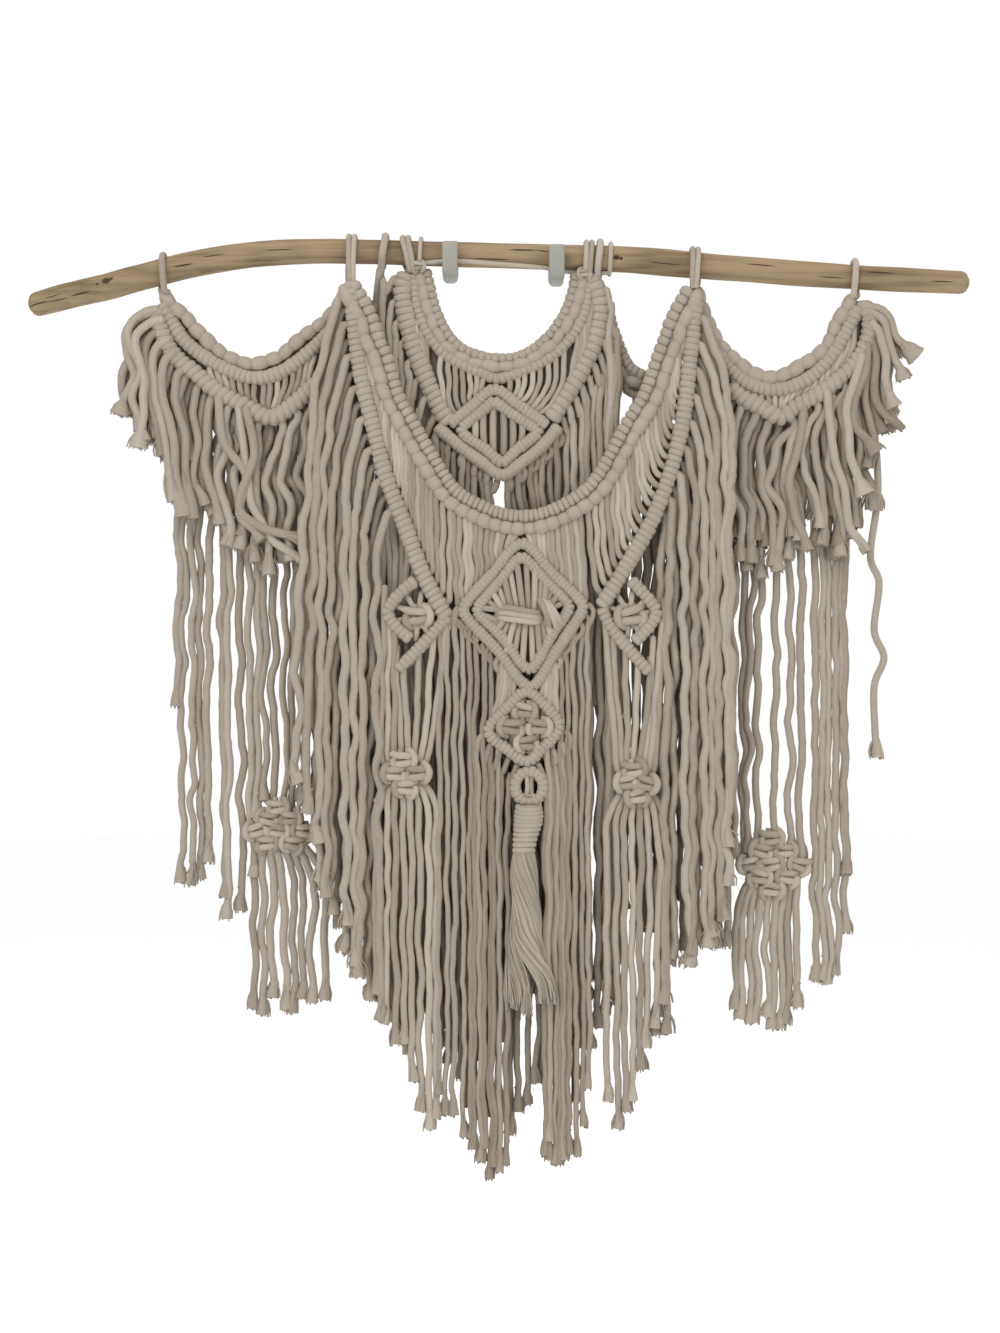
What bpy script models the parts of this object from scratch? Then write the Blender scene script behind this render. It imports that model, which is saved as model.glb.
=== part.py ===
"""Layered macrame wall hanging on a driftwood stick that lies in two hooks.

Metres in Blender, millimetres in the tables below. +Z is up and the front faces -Y. The origin is on the
wall, midway between the two hooks, level with the stick. Every swag hangs flat, in a layer of its own depth.
"""

import math

import bpy

MM = 0.001

# Driving dimensions.
WALL_TO_STICK = 20.0  # from the wall to the stick's axis
BACK_LAYER = -9.0  # depth of the two long back swags
SIDE_LAYER = -24.0  # depth of the side swags and the upper middle swag
MAIN_LAYER = -38.0  # depth of the main swag, in front
FRINGE_THICKNESS = 7.0  # one or two cords deep
GAP = 0.4  # clear space between pieces that touch in real life
CORD = 5.2  # diameter of the cotton string
HEADING_RADIUS = 5.4  # a row of lark's heads over its foundation cord
BAND_RADIUS = 4.7  # a row of double half hitches
BAND_CLEAR = BAND_RADIUS + GAP  # from a band's centre line to the next piece
SPINE = 3.0  # height of the strip that a comb's teeth hang from

# Stick: centre line and radius, from the left end to the right end.
STICK = [
    # x, z, radius
    (-378, -38, 9.4),
    (-345, -31, 10.4),
    (-311, -23, 10.6),
    (-256, -8, 10.5),
    (-202, 1, 10.3),
    (-146, 4, 9.9),
    (-59, 2, 9.9),
    (10, 0, 10.0),
    (80, -2, 10.2),
    (118, -4, 10.5),
    (179, -10, 10.2),
    (240, -14, 9.9),
    (322, -19, 9.6),
    (371, -21, 8.8),
]

# Swags: the centre line of each heading. Fullness under 1 is round like a U, over 1 is pointed like a V.
SWAGS = {
    # name: left end x, z, lowest x, z, right end x, z, fullness left, right, layer
    "left": (-265, -38, -200, -87, -130, -33, 1.3, 1.3, SIDE_LAYER),
    "right": (157, -36, 213, -94, 275, -37, 1.1, 1.1, SIDE_LAYER),
    "middle": (-64, -21, -5, -86, 62, -23, 0.7, 0.7, SIDE_LAYER),
    "main": (-112, -34, 17, -216, 144, -34, 0.75, 1.0, MAIN_LAYER),
    "back_left": (-259, -60, -203, -110, -106, -38, 1.3, 1.3, BACK_LAYER),
    "back_right": (78, -26, 162, -115, 286, -52, 0.35, 0.5, BACK_LAYER),
}

# Loops that tie the swags to the stick.
LOOPS = {
    # name: x on the stick, x, y, z of the lowest point
    "loop_left_swag": (-276, -267, -24.0, -32.5),
    "loop_right_swag": (281, 276, -24.0, -34.5),
    "loop_middle_left": (-80, -70, -25.0, -16.0),
    "loop_middle_right": (67, 66, -25.0, -17.5),
    "loop_main_left": (-124, -120, -36.0, -24.0),
    "loop_main_right": (152, 149, -36.0, -26.0),
    "loop_back_left": (-95, -102, -14.0, -33.0),
    "loop_back_right": (75, 77, -13.0, -20.5),
}

# Knotted bands with straight or gently bent runs, as points (x, z) along their centre lines.
BANDS = {
    # name: layer, points
    "left_swag_point_band": (SIDE_LAYER, [(-276, -56), (-263, -82), (-245, -101), (-222, -116), (-187, -130),
                                          (-176, -124), (-160, -112), (-146, -100)]),
    "right_swag_point_band": (SIDE_LAYER, [(181, -106), (191, -115), (207, -123), (222, -130), (234, -121),
                                           (250, -112), (268, -100), (283, -85), (291, -68), (293, -52)]),
    "middle_side_left": (SIDE_LAYER, [(-86, -34), (-82, -53), (-76, -73), (-70, -92), (-63, -112),
                                      (-56, -131)]),
    "middle_side_right": (SIDE_LAYER, [(83, -34), (81, -53), (77, -72), (70, -90), (61, -109),
                                       (50, -128)]),
    "middle_point_band": (SIDE_LAYER, [(-55, -143), (-30, -166), (-3, -187), (22, -167), (47, -140)]),
    "main_side_left": (MAIN_LAYER, [(-122, -40), (-120, -67), (-116, -94), (-111, -121), (-104, -148),
                                    (-95, -174), (-86, -201), (-75, -228), (-63, -255), (-50, -282)]),
    "main_side_right": (MAIN_LAYER, [(152, -46), (151, -72), (150, -98), (148, -124), (143, -150),
                                     (136, -175), (126, -201), (113, -227), (98, -253), (78, -279)]),
}

# Diamonds of knotted bands, by their four corners.
DIAMONDS = {
    # name: layer, band radius, left, top, right, bottom, how far the side corners are blunted
    "middle_diamond": (SIDE_LAYER, 4.7, (-38, -138), (-6, -114), (27, -138), (-3, -170), 4.0),
    "middle_diamond_inner": (SIDE_LAYER, 4.0, (-24, -139), (-6, -127), (13, -139), (-4, -155), 2.0),
    "main_diamond": (MAIN_LAYER, 4.7, (-30, -284), (14, -236), (62, -280), (20, -342), 5.0),
    "main_diamond_inner": (MAIN_LAYER, 4.0, (-15, -284), (14, -251), (47, -281), (20, -325), 3.0),
    "main_second_diamond": (MAIN_LAYER, 4.7, (-14, -384), (18, -353), (46, -379), (19, -409), 4.0),
    "main_small_diamond_left": (MAIN_LAYER, 4.7, (-91, -300), (-73, -274), (-56, -300), (-82, -330), 4.0),
    "main_small_diamond_right": (MAIN_LAYER, 4.7, (82, -295), (105, -267), (124, -292), (115, -332), 4.0),
}

# Fringes, each a comb that hangs from an edge. Its teeth are one or two cords wide.
FRINGES = {
    # name: layer, first tooth's x, last tooth's x, tooth width, drop to reach those x, heights of the tips
    "left_swag_fringe": (SIDE_LAYER, -286, -152, 8.0, 40,
                         [-135, -161, -183, -197, -206, -209, -214, -223, -236, -249, -254, -247]),
    "right_swag_fringe": (SIDE_LAYER, 183, 308, 8.0, 40,
                          [-237, -245, -255, -255, -248, -239, -232, -237, -236, -228, -201, -153]),
    "middle_fringe": (SIDE_LAYER, -62, 60, 7.5, 110,
                      [-597, -639, -664, -695, -717, -702, -686, -649, -677, -707, -695, -645]),
    "main_fringe_left": (MAIN_LAYER, -48, -24, 7.0, 60, [-695, -722, -738]),
    "main_fringe_right": (MAIN_LAYER, 58, 74.5, 7.0, 60, [-728, -705, -712]),
    "main_fringe_outer_left": (MAIN_LAYER, -164, -112, 7.6, 110, [-435, -470, -500, -555, -580, -602]),
    "main_fringe_outer_right": (MAIN_LAYER, 148, 194, 8.0, 50, [-633, -600, -550, -514, -475]),
    "back_left_fringe": (BACK_LAYER, -264, -169, 7.5, 40,
                         [-368, -511, -490, -535, -434, -434, -432, -430, -428]),
    "back_right_fringe": (BACK_LAYER, 152, 293, 7.5, 40,
                          [-545, -560, -569, -452, -456, -458, -458, -454, -595, -597, -503, -387]),
}

# Diamond-shaped clusters of square knots, each with the fringe that hangs from it.
CLUSTERS = {
    # name: layer, left, right, top, bottom, heights of the fringe's tips
    "main_cluster_left": (MAIN_LAYER, -98, -58, -395, -434, [-618, -655, -700, -690]),
    "main_cluster_right": (MAIN_LAYER, 86, 124, -410, -439, [-705, -690, -645, -630]),
    "back_left_cluster": (BACK_LAYER, -214, -160, -439, -481, [-606, -612, -600, -604, -598]),
    "back_right_cluster": (BACK_LAYER, 187, 245, -465, -516, [-610, -619, -626, -620, -606]),
}

HOOKS = {"hook_left": -43.0, "hook_right": 42.0}  # x of each hook
HOOK_WIDTH = 12.0
# Side outline of a hook, from the stick's axis, where the stick's underside is 10 mm below it.
HOOK_OUTLINE = [
    # y, z
    (20.0, 8.0),
    (20.0, -13.0),
    (17.0, -18.0),
    (10.0, -21.5),
    (0.0, -22.8),
    (-9.0, -21.5),
    (-16.5, -17.0),
    (-20.5, -9.0),
    (-21.0, 0.0),
    (-20.5, 9.0),
    (-18.8, 10.6),
    (-16.8, 9.4),
    (-16.0, 0.0),
    (-15.8, -6.0),
    (-12.0, -10.6),
    (8.0, -10.6),
    (14.0, -6.0),
    (15.0, 0.0),
    (15.0, 8.0),
]

MATERIALS = {
    # name: red, green, blue, roughness
    "cotton": (0.45, 0.40, 0.33, 0.95),
    "driftwood": (0.40, 0.29, 0.18, 0.75),
    "hook_plastic": (0.62, 0.62, 0.58, 0.45),
}


# Geometry in the plane of the hanging, as lists of (x, z) in millimetres.


def swag_path(name, steps):
    """Heading of a swag from its left end to its right end, with its points closest where it is steep."""
    left_x, left_z, low_x, low_z, right_x, right_z, full_left, full_right, _ = SWAGS[name]
    path = []
    for k in range(-steps // 2, steps // 2 + 1):
        u = math.sin(abs(k) / (steps // 2) * math.pi / 2)
        end_x, end_z, full = (left_x, left_z, full_left) if k < 0 else (right_x, right_z, full_right)
        rise = 1 - (1 - u * u) ** full
        path.append((low_x + (end_x - low_x) * u, low_z + (end_z - low_z) * rise))
    return path


def rounded_diamond(left, top, right, bottom, blunt=5.0):
    """Closed diamond with its left and right corners blunted."""
    (lx, lz), (rx, rz) = left, right
    return [
        top,
        ((top[0] + rx) / 2, (top[1] + rz) / 2),
        (rx - blunt * 0.4, rz + blunt),
        (rx, rz),
        (rx - blunt * 0.4, rz - blunt),
        ((bottom[0] + rx) / 2, (bottom[1] + rz) / 2),
        bottom,
        ((bottom[0] + lx) / 2, (bottom[1] + lz) / 2),
        (lx + blunt * 0.4, lz - blunt),
        (lx, lz),
        (lx + blunt * 0.4, lz + blunt),
        ((top[0] + lx) / 2, (top[1] + lz) / 2),
    ]


def offset(path, distance):
    """The path moved sideways with mitred corners, to the right of its direction for a positive distance."""
    normals = []
    for (ax, az), (bx, bz) in zip(path, path[1:]):
        length = math.hypot(bx - ax, bz - az)
        normals.append(((bz - az) / length, (ax - bx) / length))
    moved = []
    for k, (x, z) in enumerate(path):
        before, after = normals[max(k - 1, 0)], normals[min(k, len(normals) - 1)]
        mx, mz = before[0] + after[0], before[1] + after[1]
        scale = distance * 2 / max(mx * mx + mz * mz, 1.0)
        moved.append((x + mx * scale, z + mz * scale))
    return moved


def at_x(path, x):
    """Height of a path at x, where the path runs from left to right."""
    for (ax, az), (bx, bz) in zip(path, path[1:]):
        if min(ax, bx) <= x <= max(ax, bx):
            return az + (bz - az) * ((x - ax) / (bx - ax) if bx != ax else 0)
    return path[0][1] if x < path[0][0] else path[-1][1]


def part_of(path, low, high):
    """The stretch of a left-to-right path between two x values."""
    inner = [p for p in path if low < p[0] < high]
    return [(low, at_x(path, low)), *inner, (high, at_x(path, high))]


def path_length(path):
    return sum(math.dist(a, b) for a, b in zip(path, path[1:]))


def along(path, share):
    """Point at a share of the path's length."""
    lengths = [math.dist(a, b) for a, b in zip(path, path[1:])]
    wanted = share * sum(lengths)
    for (a, b), length in zip(zip(path, path[1:]), lengths):
        if wanted <= length:
            t = wanted / length
            return (a[0] + (b[0] - a[0]) * t, a[1] + (b[1] - a[1]) * t)
        wanted -= length
    return path[-1]


def share_at_x(path, x):
    """Share of the path's length at x, where the path runs from left to right."""
    return path_length(part_of(path, path[0][0], x)) / path_length(path)


def net_outline(edge, middles, floors, tooth):
    """Outline of a comb of upright teeth. Its spine lies above edge, which runs from left to right."""
    outline = [*reversed(offset(edge, -SPINE))]
    last = edge[0][0]
    for middle, floor in zip(middles, floors):
        left, right = middle - tooth / 2, middle + tooth / 2
        if floor > min(at_x(edge, left), at_x(edge, right)) - 1:
            continue
        outline += [p for p in edge if last <= p[0] < left - 0.5]
        outline += [(left, at_x(edge, left)), (left, floor), (right, floor), (right, at_x(edge, right))]
        last = right + 0.5
    outline += [p for p in edge if p[0] > last]
    return outline


def comb_outline(edge, hangs, ends, tooth, sway=1.5, wave=130.0, drop=40.0, crown=None, steep=False):
    """Outline of a comb whose spine follows edge. Its teeth bend over to hang at the x values in hangs.

    edge runs from left to right with the teeth below it. ends gives the height of each tooth's tip, sway
    the size of its waves, and drop how far below its root it reaches its own x. crown runs from right to left
    over the top, in place of the edge itself. The roots share out the edge's width, or, if steep, its length.
    """
    outer = offset(edge, SPINE)
    outline = list(crown or reversed(edge))
    for k, (hang, end) in enumerate(zip(hangs, ends)):
        share = (k + 0.5) / len(hangs)
        if not steep:
            inset = tooth / 2 + 0.5
            share = (hang - hangs[0]) / (hangs[-1] - hangs[0])
            share = share_at_x(outer, outer[0][0] + inset + (outer[-1][0] - outer[0][0] - 2 * inset) * share)
        root = along(outer, share)
        ahead = along(outer, min(1.0, share + 0.01))
        behind = along(outer, max(0.0, share - 0.01))
        length = math.dist(behind, ahead)
        across = ((ahead[0] - behind[0]) / length, (ahead[1] - behind[1]) / length)
        stub = tooth * (1.0 if steep else 0.6)
        start = (root[0] + across[1] * stub, root[1] - across[0] * stub)
        centre = [root, start]
        heights = [-n * wave / 2 for n in range(30) if end + 6 < -n * wave / 2 < start[1] - 1.5 * tooth]
        for z in [*heights, end]:
            reach = 1 - (1 - min(1.0, (start[1] - z) / drop)) ** 2
            wiggle = sway * math.cos(2 * math.pi * z / wave)
            centre.append((start[0] + (hang - start[0]) * reach + wiggle, z))
        outline.append((root[0] - across[0] * tooth / 2, root[1] - across[1] * tooth / 2))
        outline += offset(centre, tooth / 2)[1:]
        outline += reversed(offset(centre, -tooth / 2)[1:])
        outline.append((root[0] + across[0] * tooth / 2, root[1] + across[1] * tooth / 2))
    return outline


def ribbon_outline(path, width):
    return offset(path, width / 2) + list(reversed(offset(path, -width / 2)))


# Blender objects.


def clear_scene():
    for obj in list(bpy.data.objects):
        bpy.data.objects.remove(obj, do_unlink=True)


def make_material(name):
    red, green, blue, roughness = MATERIALS[name]
    material = bpy.data.materials.new(name)
    material.use_nodes = True
    shader = material.node_tree.nodes["Principled BSDF"]
    shader.inputs["Base Color"].default_value = (red, green, blue, 1)
    shader.inputs["Roughness"].default_value = roughness
    shader.inputs["Metallic"].default_value = 0.0
    return material


def add_object(name, data, material):
    obj = bpy.data.objects.new(name, data)
    parts.objects.link(obj)
    data.materials.append(materials[material])
    return obj


def tube(name, points, radius, material="cotton", closed=False, sides=2, radii=None):
    """Round bar through points given in millimetres as (x, y, z). sides is the curve's bevel resolution."""
    curve = bpy.data.curves.new(name, "CURVE")
    curve.dimensions = "3D"
    curve.bevel_depth = radius * MM
    curve.bevel_resolution = sides
    curve.use_fill_caps = True
    spline = curve.splines.new("POLY")
    spline.points.add(len(points) - 1)
    spline.use_cyclic_u = closed
    for k, point in enumerate(points):
        spline.points[k].co = (*(c * MM for c in point), 1)
        spline.points[k].radius = radii[k] / radius if radii else 1.0
    return add_object(name, curve, material)


def band(name, path, radius, layer, closed=False):
    """A knotted row: a round bar in the plane of its layer."""
    return tube(name, [(x, layer, z) for x, z in path], radius, closed=closed)


def plate(name, outlines, layer, thickness=FRINGE_THICKNESS):
    """A flat panel in the plane of its layer. The first outline is its edge and the others are its holes."""
    curve = bpy.data.curves.new(name, "CURVE")
    curve.dimensions = "2D"
    curve.fill_mode = "BOTH"
    curve.extrude = thickness / 2 * MM
    for outline in outlines:
        spline = curve.splines.new("POLY")
        spline.points.add(len(outline) - 1)
        spline.use_cyclic_u = True
        for point, (x, z) in zip(spline.points, outline):
            point.co = (x * MM, z * MM, 0, 1)
    obj = add_object(name, curve, "cotton")
    obj.rotation_euler.x = math.pi / 2
    obj.location.y = layer * MM
    return obj


def comb(name, edge, hangs, ends, layer, tooth=10.0, **shape):
    return plate(name, [comb_outline(edge, hangs, ends, tooth, **shape)], layer)


def net(name, edge, middles, roof, layer, tooth=8.0):
    """A row of straight cords from one band down to the band whose upper side is roof."""
    floors = [max(at_x(roof, x) for x in spread(m - tooth / 2, m + tooth / 2, 5)) + 0.6 for m in middles]
    return plate(name, [net_outline(edge, middles, floors, tooth)], layer, CORD)


def cluster(name, layer, left, right, top, bottom, tips):
    """A diamond-shaped cluster of square knots with the fringe that hangs from it, as one comb."""
    middle, height = (left + right) / 2, (top + bottom) / 2
    blunt, tooth = 5.0, 7.2
    edge = [(left, height - blunt), (middle, bottom), (right, height - blunt)]
    crown = [(right, height + blunt), (middle + blunt, top), (middle - blunt, top), (left, height + blunt)]
    comb(name, edge, spread(left + blunt, right - blunt, len(tips)), tips, layer, tooth, crown=crown)


def spread(first, last, count):
    return [first + (last - first) * k / (count - 1) for k in range(count)]


# The hanging's pieces.


def stick_at(x):
    for (ax, az, ar), (bx, bz, br) in zip(STICK, STICK[1:]):
        if ax <= x <= bx:
            t = (x - ax) / (bx - ax)
            return az + (bz - az) * t, ar + (br - ar) * t
    return STICK[-1][1:]


def make_stick():
    points = [(x, -WALL_TO_STICK, z) for x, z, _ in STICK]
    first, last = points[0], points[-1]
    ends_in = 4.0
    points = [(first[0] - ends_in, *first[1:]), *points, (last[0] + ends_in, *last[1:])]
    radii = [r for _, _, r in STICK]
    radii = [radii[0] * 0.7, *radii, radii[-1] * 0.75]
    tube("stick", points, 10.0, "driftwood", sides=4, radii=radii)


def make_hook(name, x):
    """A plain J-shaped hook with a flat back, its edges rounded."""
    height, _ = stick_at(x)
    curve = bpy.data.curves.new(name, "CURVE")
    curve.dimensions = "2D"
    curve.fill_mode = "BOTH"
    curve.extrude = HOOK_WIDTH / 2 * MM
    spline = curve.splines.new("POLY")
    spline.points.add(len(HOOK_OUTLINE) - 1)
    spline.use_cyclic_u = True
    for point, (y, z) in zip(spline.points, HOOK_OUTLINE):
        point.co = (y * MM, z * MM, 0, 1)
    obj = add_object(name, curve, "hook_plastic")
    obj.rotation_euler = (math.pi / 2, 0, math.pi / 2)
    obj.location = (x * MM, -WALL_TO_STICK * MM, height * MM)
    weld = obj.modifiers.new("weld", "WELD")
    weld.merge_threshold = 0.00001
    rounding = obj.modifiers.new("rounding", "BEVEL")
    rounding.width = 1.2 * MM
    rounding.segments = 2
    rounding.limit_method = "ANGLE"
    rounding.angle_limit = math.radians(60)


def make_loop(name, x, low_x, low_y, low_z, radius=2.6):
    """A cord round the stick, its two legs meeting at the lowest point."""
    height, stick_radius = stick_at(x)
    reach = stick_radius + GAP + 0.5 + radius
    leg = radius + GAP
    points = []
    for degrees in range(-65, 246, 31):
        angle = math.radians(degrees)
        y = -WALL_TO_STICK + reach * math.cos(angle)
        z = height + reach * math.sin(angle)
        share = max(0.0, min(1.0, (height + reach - z) / (height + reach - low_z)))
        points.append((x + (low_x - x) * share, y, z))
    points += [(low_x, low_y - leg, low_z + leg), (low_x, low_y, low_z), (low_x, low_y + leg, low_z + leg)]
    tube(name, points, radius, closed=True)


def make_hanging_cord(radius=2.0, left=-61.0, right=55.0):
    """The cord that is tied round the stick at both ends and runs along its front, through the hooks."""
    points = []
    turn_width = 5.5
    run_angle = 205.0
    for end, advance in ((left, 1), (right, -1)):
        turn = []
        for step in range(13):
            degrees = run_angle - 350.0 * (1 - step / 12) * advance
            turn.append((end - turn_width * (1 - step / 12) * advance, degrees))
        points += turn if advance == 1 else list(reversed(turn))
    route = []
    for x, degrees in points:
        height, stick_radius = stick_at(x)
        reach = stick_radius + GAP + 0.3 + radius
        angle = math.radians(degrees)
        route.append((x, -WALL_TO_STICK + reach * math.cos(angle), height + reach * math.sin(angle)))
    tube("hanging_cord", route, radius)


def make_fringe(name, edge, **shape):
    layer, first, last, tooth, drop, tips = FRINGES[name]
    comb(name, edge, spread(first, last, len(tips)), tips, layer, tooth, drop=drop, **shape)


def make_top_rows(prefix, swag, steps):
    """Heading of lark's heads with the band of half hitches under it. Returns the line along the band."""
    heading = swag_path(swag, steps)
    hitches = offset(heading, HEADING_RADIUS + BAND_RADIUS + GAP)
    band(prefix + "_heading", heading, HEADING_RADIUS, SWAGS[swag][-1])
    band(prefix + "_band", hitches[1:-1], BAND_RADIUS, SWAGS[swag][-1])
    return hitches


def make_side_swag(prefix, swag, net_span, fringe_span):
    """One of the two short side swags: its net fills the space between the band and the pointed band."""
    layer, point = BANDS[prefix + "_point_band"]
    hitches = make_top_rows(prefix, swag, 12)
    net_edge = part_of(offset(hitches, BAND_CLEAR + SPINE), *net_span)
    pitch = 11.0
    first, last = net_span[0] + pitch / 2, net_span[1] - pitch / 2
    middles = spread(first, last, round((last - first) / pitch) + 1)
    net(prefix + "_net", net_edge, middles, offset(point, -BAND_CLEAR), layer)
    make_fringe(prefix + "_fringe", part_of(offset(point, BAND_CLEAR), *fringe_span), sway=1.0, wave=80.0)


def make_middle_swag():
    """Upper middle swag: a net between band and diamond, and a fringe that hangs behind the main swag."""
    hitches = make_top_rows("middle", "middle", 14)
    net_edge = part_of(offset(hitches, BAND_CLEAR + SPINE), -34, 30)
    roof = offset([(-38, -131), (-6, -114), (27, -131)], -BAND_CLEAR)
    net("middle_net", net_edge, spread(-27, 23, 5), roof, SIDE_LAYER)
    make_fringe("middle_fringe", offset(BANDS["middle_point_band"][1], BAND_CLEAR))


def make_main_net():
    """The net from the heading down to the side bands and the big diamond."""
    heading = swag_path("main", 18)
    band("main_heading", heading, HEADING_RADIUS, MAIN_LAYER)
    edge = part_of(offset(heading, HEADING_RADIUS + GAP + SPINE), -112, 142)
    over_diamond = [(-38, -273), (-24, -267), (14, -227.5), (58, -265.5), (70, -270)]
    left_roof = offset(BANDS["main_side_left"][1], -BAND_CLEAR)
    right_roof = list(reversed(offset(BANDS["main_side_right"][1], BAND_CLEAR)))
    net("main_net", edge, spread(-100, 130, 20), left_roof + over_diamond + right_roof, MAIN_LAYER)


def make_main_middle():
    """What fills the middle diamonds and hangs from them: cords, knots, a ring, a wrap and a tassel."""
    gathered = [(-4, -280), (14, -263), (34, -278), (24, -286)]
    gathered += [(34, -293), (19, -312), (-2, -292), (8, -286)]
    plate("main_diamond_cords", [gathered], MAIN_LAYER, CORD)
    knots = rounded_diamond((-6, -384), (18, -361), (38, -380), (19, -401), 3.0)
    plate("main_second_knots", [knots], MAIN_LAYER, CORD)
    ring_radius, ring_x, ring_z = 9.5, 19.5, -428.0
    turns = [k * math.pi / 6 for k in range(12)]
    ring = [(ring_x + ring_radius * math.cos(a), ring_z + ring_radius * math.sin(a)) for a in turns]
    band("main_ring", ring, 3.6, MAIN_LAYER, closed=True)
    tube("main_wrap", [(18.5, MAIN_LAYER, -442), (18.5, MAIN_LAYER, -479)], 10.2)
    route = [(18.5, 0, -479.5), (19, 0, -515), (19, 0, -560), (19, 0, -598)]
    tassel = tube("main_tassel", route, 10.5, radii=(10.5, 12.0, 17.0, 23.5))
    tassel.scale.y = 0.62  # the tassel hangs flattened
    tassel.location.y = (MAIN_LAYER - 6.0) * MM


def make_cords_below(name, sides, lowest):
    """Four cords that leave the underside of a small diamond, whose three lower corners are given."""
    underside = offset(sides, BAND_CLEAR + 1)
    left, right = underside[0][0] + 1, underside[-1][0] - 1
    web = underside[1][1] - 3
    hangs = spread(left + 4.5, right - 4.5, 4)
    edge = [(left, web), (right, web)]
    comb(name, edge, hangs, [lowest] * 4, MAIN_LAYER, 7.5, sway=0.8, crown=reversed(underside))


def make_main_fringes():
    make_cords_below("main_cords_small_left", [(-92, -312), (-83, -334), (-62, -316)], -394)
    make_cords_below("main_cords_small_right", [(90, -312), (115, -336), (121, -318)], -409)
    make_fringe("main_fringe_left", offset([(-34, -294), (-16, -309), (-5, -322)], BAND_CLEAR + 1))
    make_fringe("main_fringe_right", offset([(38, -322), (50, -309), (66, -290)], BAND_CLEAR + 1))
    left_edge = offset(BANDS["main_side_left"][1], BAND_CLEAR)[1:-2]
    make_fringe("main_fringe_outer_left", left_edge, steep=True)
    right_edge = offset(list(reversed(BANDS["main_side_right"][1])), BAND_CLEAR)[3:-1]
    make_fringe("main_fringe_outer_right", right_edge, steep=True)


def make_back_swag(prefix, span):
    heading = swag_path(prefix, 10)
    band(prefix + "_heading", heading, HEADING_RADIUS, BACK_LAYER)
    make_fringe(prefix + "_fringe", part_of(offset(heading, HEADING_RADIUS + GAP), *span), sway=1.2)


clear_scene()
parts = bpy.data.collections.new("macrame_wall_hanging")
bpy.context.scene.collection.children.link(parts)
materials = {name: make_material(name) for name in MATERIALS}

make_stick()
for hook_name, hook_x in HOOKS.items():
    make_hook(hook_name, hook_x)
for loop_name, loop_sizes in LOOPS.items():
    make_loop(loop_name, *loop_sizes)
make_hanging_cord()
for band_name, (band_layer, band_points) in BANDS.items():
    band(band_name, band_points, BAND_RADIUS, band_layer)
for diamond_name, (diamond_layer, diamond_radius, *corners) in DIAMONDS.items():
    band(diamond_name, rounded_diamond(*corners), diamond_radius, diamond_layer, closed=True)
for cluster_name, (cluster_layer, *cluster_sizes) in CLUSTERS.items():
    cluster(cluster_name, cluster_layer, *cluster_sizes)
make_side_swag("left_swag", "left", (-246, -150), (-275, -148))
make_side_swag("right_swag", "right", (188, 262), (184, 288))
make_middle_swag()
make_main_net()
make_main_middle()
make_main_fringes()
make_back_swag("back_left", (-257, -162))
make_back_swag("back_right", (146, 282))
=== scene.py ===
import math
import random

import bpy
import numpy as np
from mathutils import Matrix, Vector, noise


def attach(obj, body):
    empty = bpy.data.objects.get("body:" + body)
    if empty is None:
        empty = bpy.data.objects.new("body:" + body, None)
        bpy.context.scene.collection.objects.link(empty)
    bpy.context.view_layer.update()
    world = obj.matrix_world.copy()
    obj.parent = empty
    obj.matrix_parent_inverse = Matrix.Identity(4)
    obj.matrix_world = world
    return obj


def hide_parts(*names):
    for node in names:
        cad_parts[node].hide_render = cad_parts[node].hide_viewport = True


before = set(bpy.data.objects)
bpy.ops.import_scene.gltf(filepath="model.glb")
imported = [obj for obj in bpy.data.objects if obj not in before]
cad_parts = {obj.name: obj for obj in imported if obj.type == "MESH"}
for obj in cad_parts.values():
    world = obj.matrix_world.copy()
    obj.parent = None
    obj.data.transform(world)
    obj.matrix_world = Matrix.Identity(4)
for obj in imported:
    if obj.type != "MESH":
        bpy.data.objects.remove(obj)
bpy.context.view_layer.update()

mm = 0.001
scene = bpy.context.scene


# Small helpers.

def colour(hexCode):  # sRGB hex to linear
    channels = [int(hexCode[k:k + 2], 16) / 255 for k in (1, 3, 5)]
    return [c / 12.92 if c <= 0.04045 else ((c + 0.055) / 1.055) ** 2.4 for c in channels] + [1.0]


def addNode(tree, kind, inputs=None, **settings):
    made = tree.nodes.new(kind)
    for name, value in settings.items():
        setattr(made, name, value)
    for key, value in (inputs or {}).items():
        if isinstance(value, bpy.types.Node):
            value = value.outputs[0]
        if isinstance(value, bpy.types.NodeSocket):
            tree.links.new(value, made.inputs[key])
        else:
            made.inputs[key].default_value = value
    return made


def newMaterial(name, settings):
    made = bpy.data.materials.new(name)
    made.use_nodes = True
    shader = made.node_tree.nodes["Principled BSDF"]
    for label, value in settings.items():
        shader.inputs[label].default_value = value
    return made, made.node_tree, shader


def newTree(name, sockets):
    tree = bpy.data.node_groups.new(name, "GeometryNodeTree")
    for label, kind, value in sockets:
        socket = tree.interface.new_socket(label, in_out="INPUT", socket_type="NodeSocket" + kind)
        if value is not None:
            socket.default_value = value
    tree.interface.new_socket("Geometry", in_out="OUTPUT", socket_type="NodeSocketGeometry")
    return tree


# Camera, lights and floor.

# The frame's size, where the stick's middle falls in it, and the camera's place, in metres
view = {"widthPx": 1000, "heightPx": 1333, "mmPerPx": 0.8, "stickPx": (504, 256.5), "distance": 2.2,
        "sensor": 36.0, "frontY": -0.024, "lower": 0.001}


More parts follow.
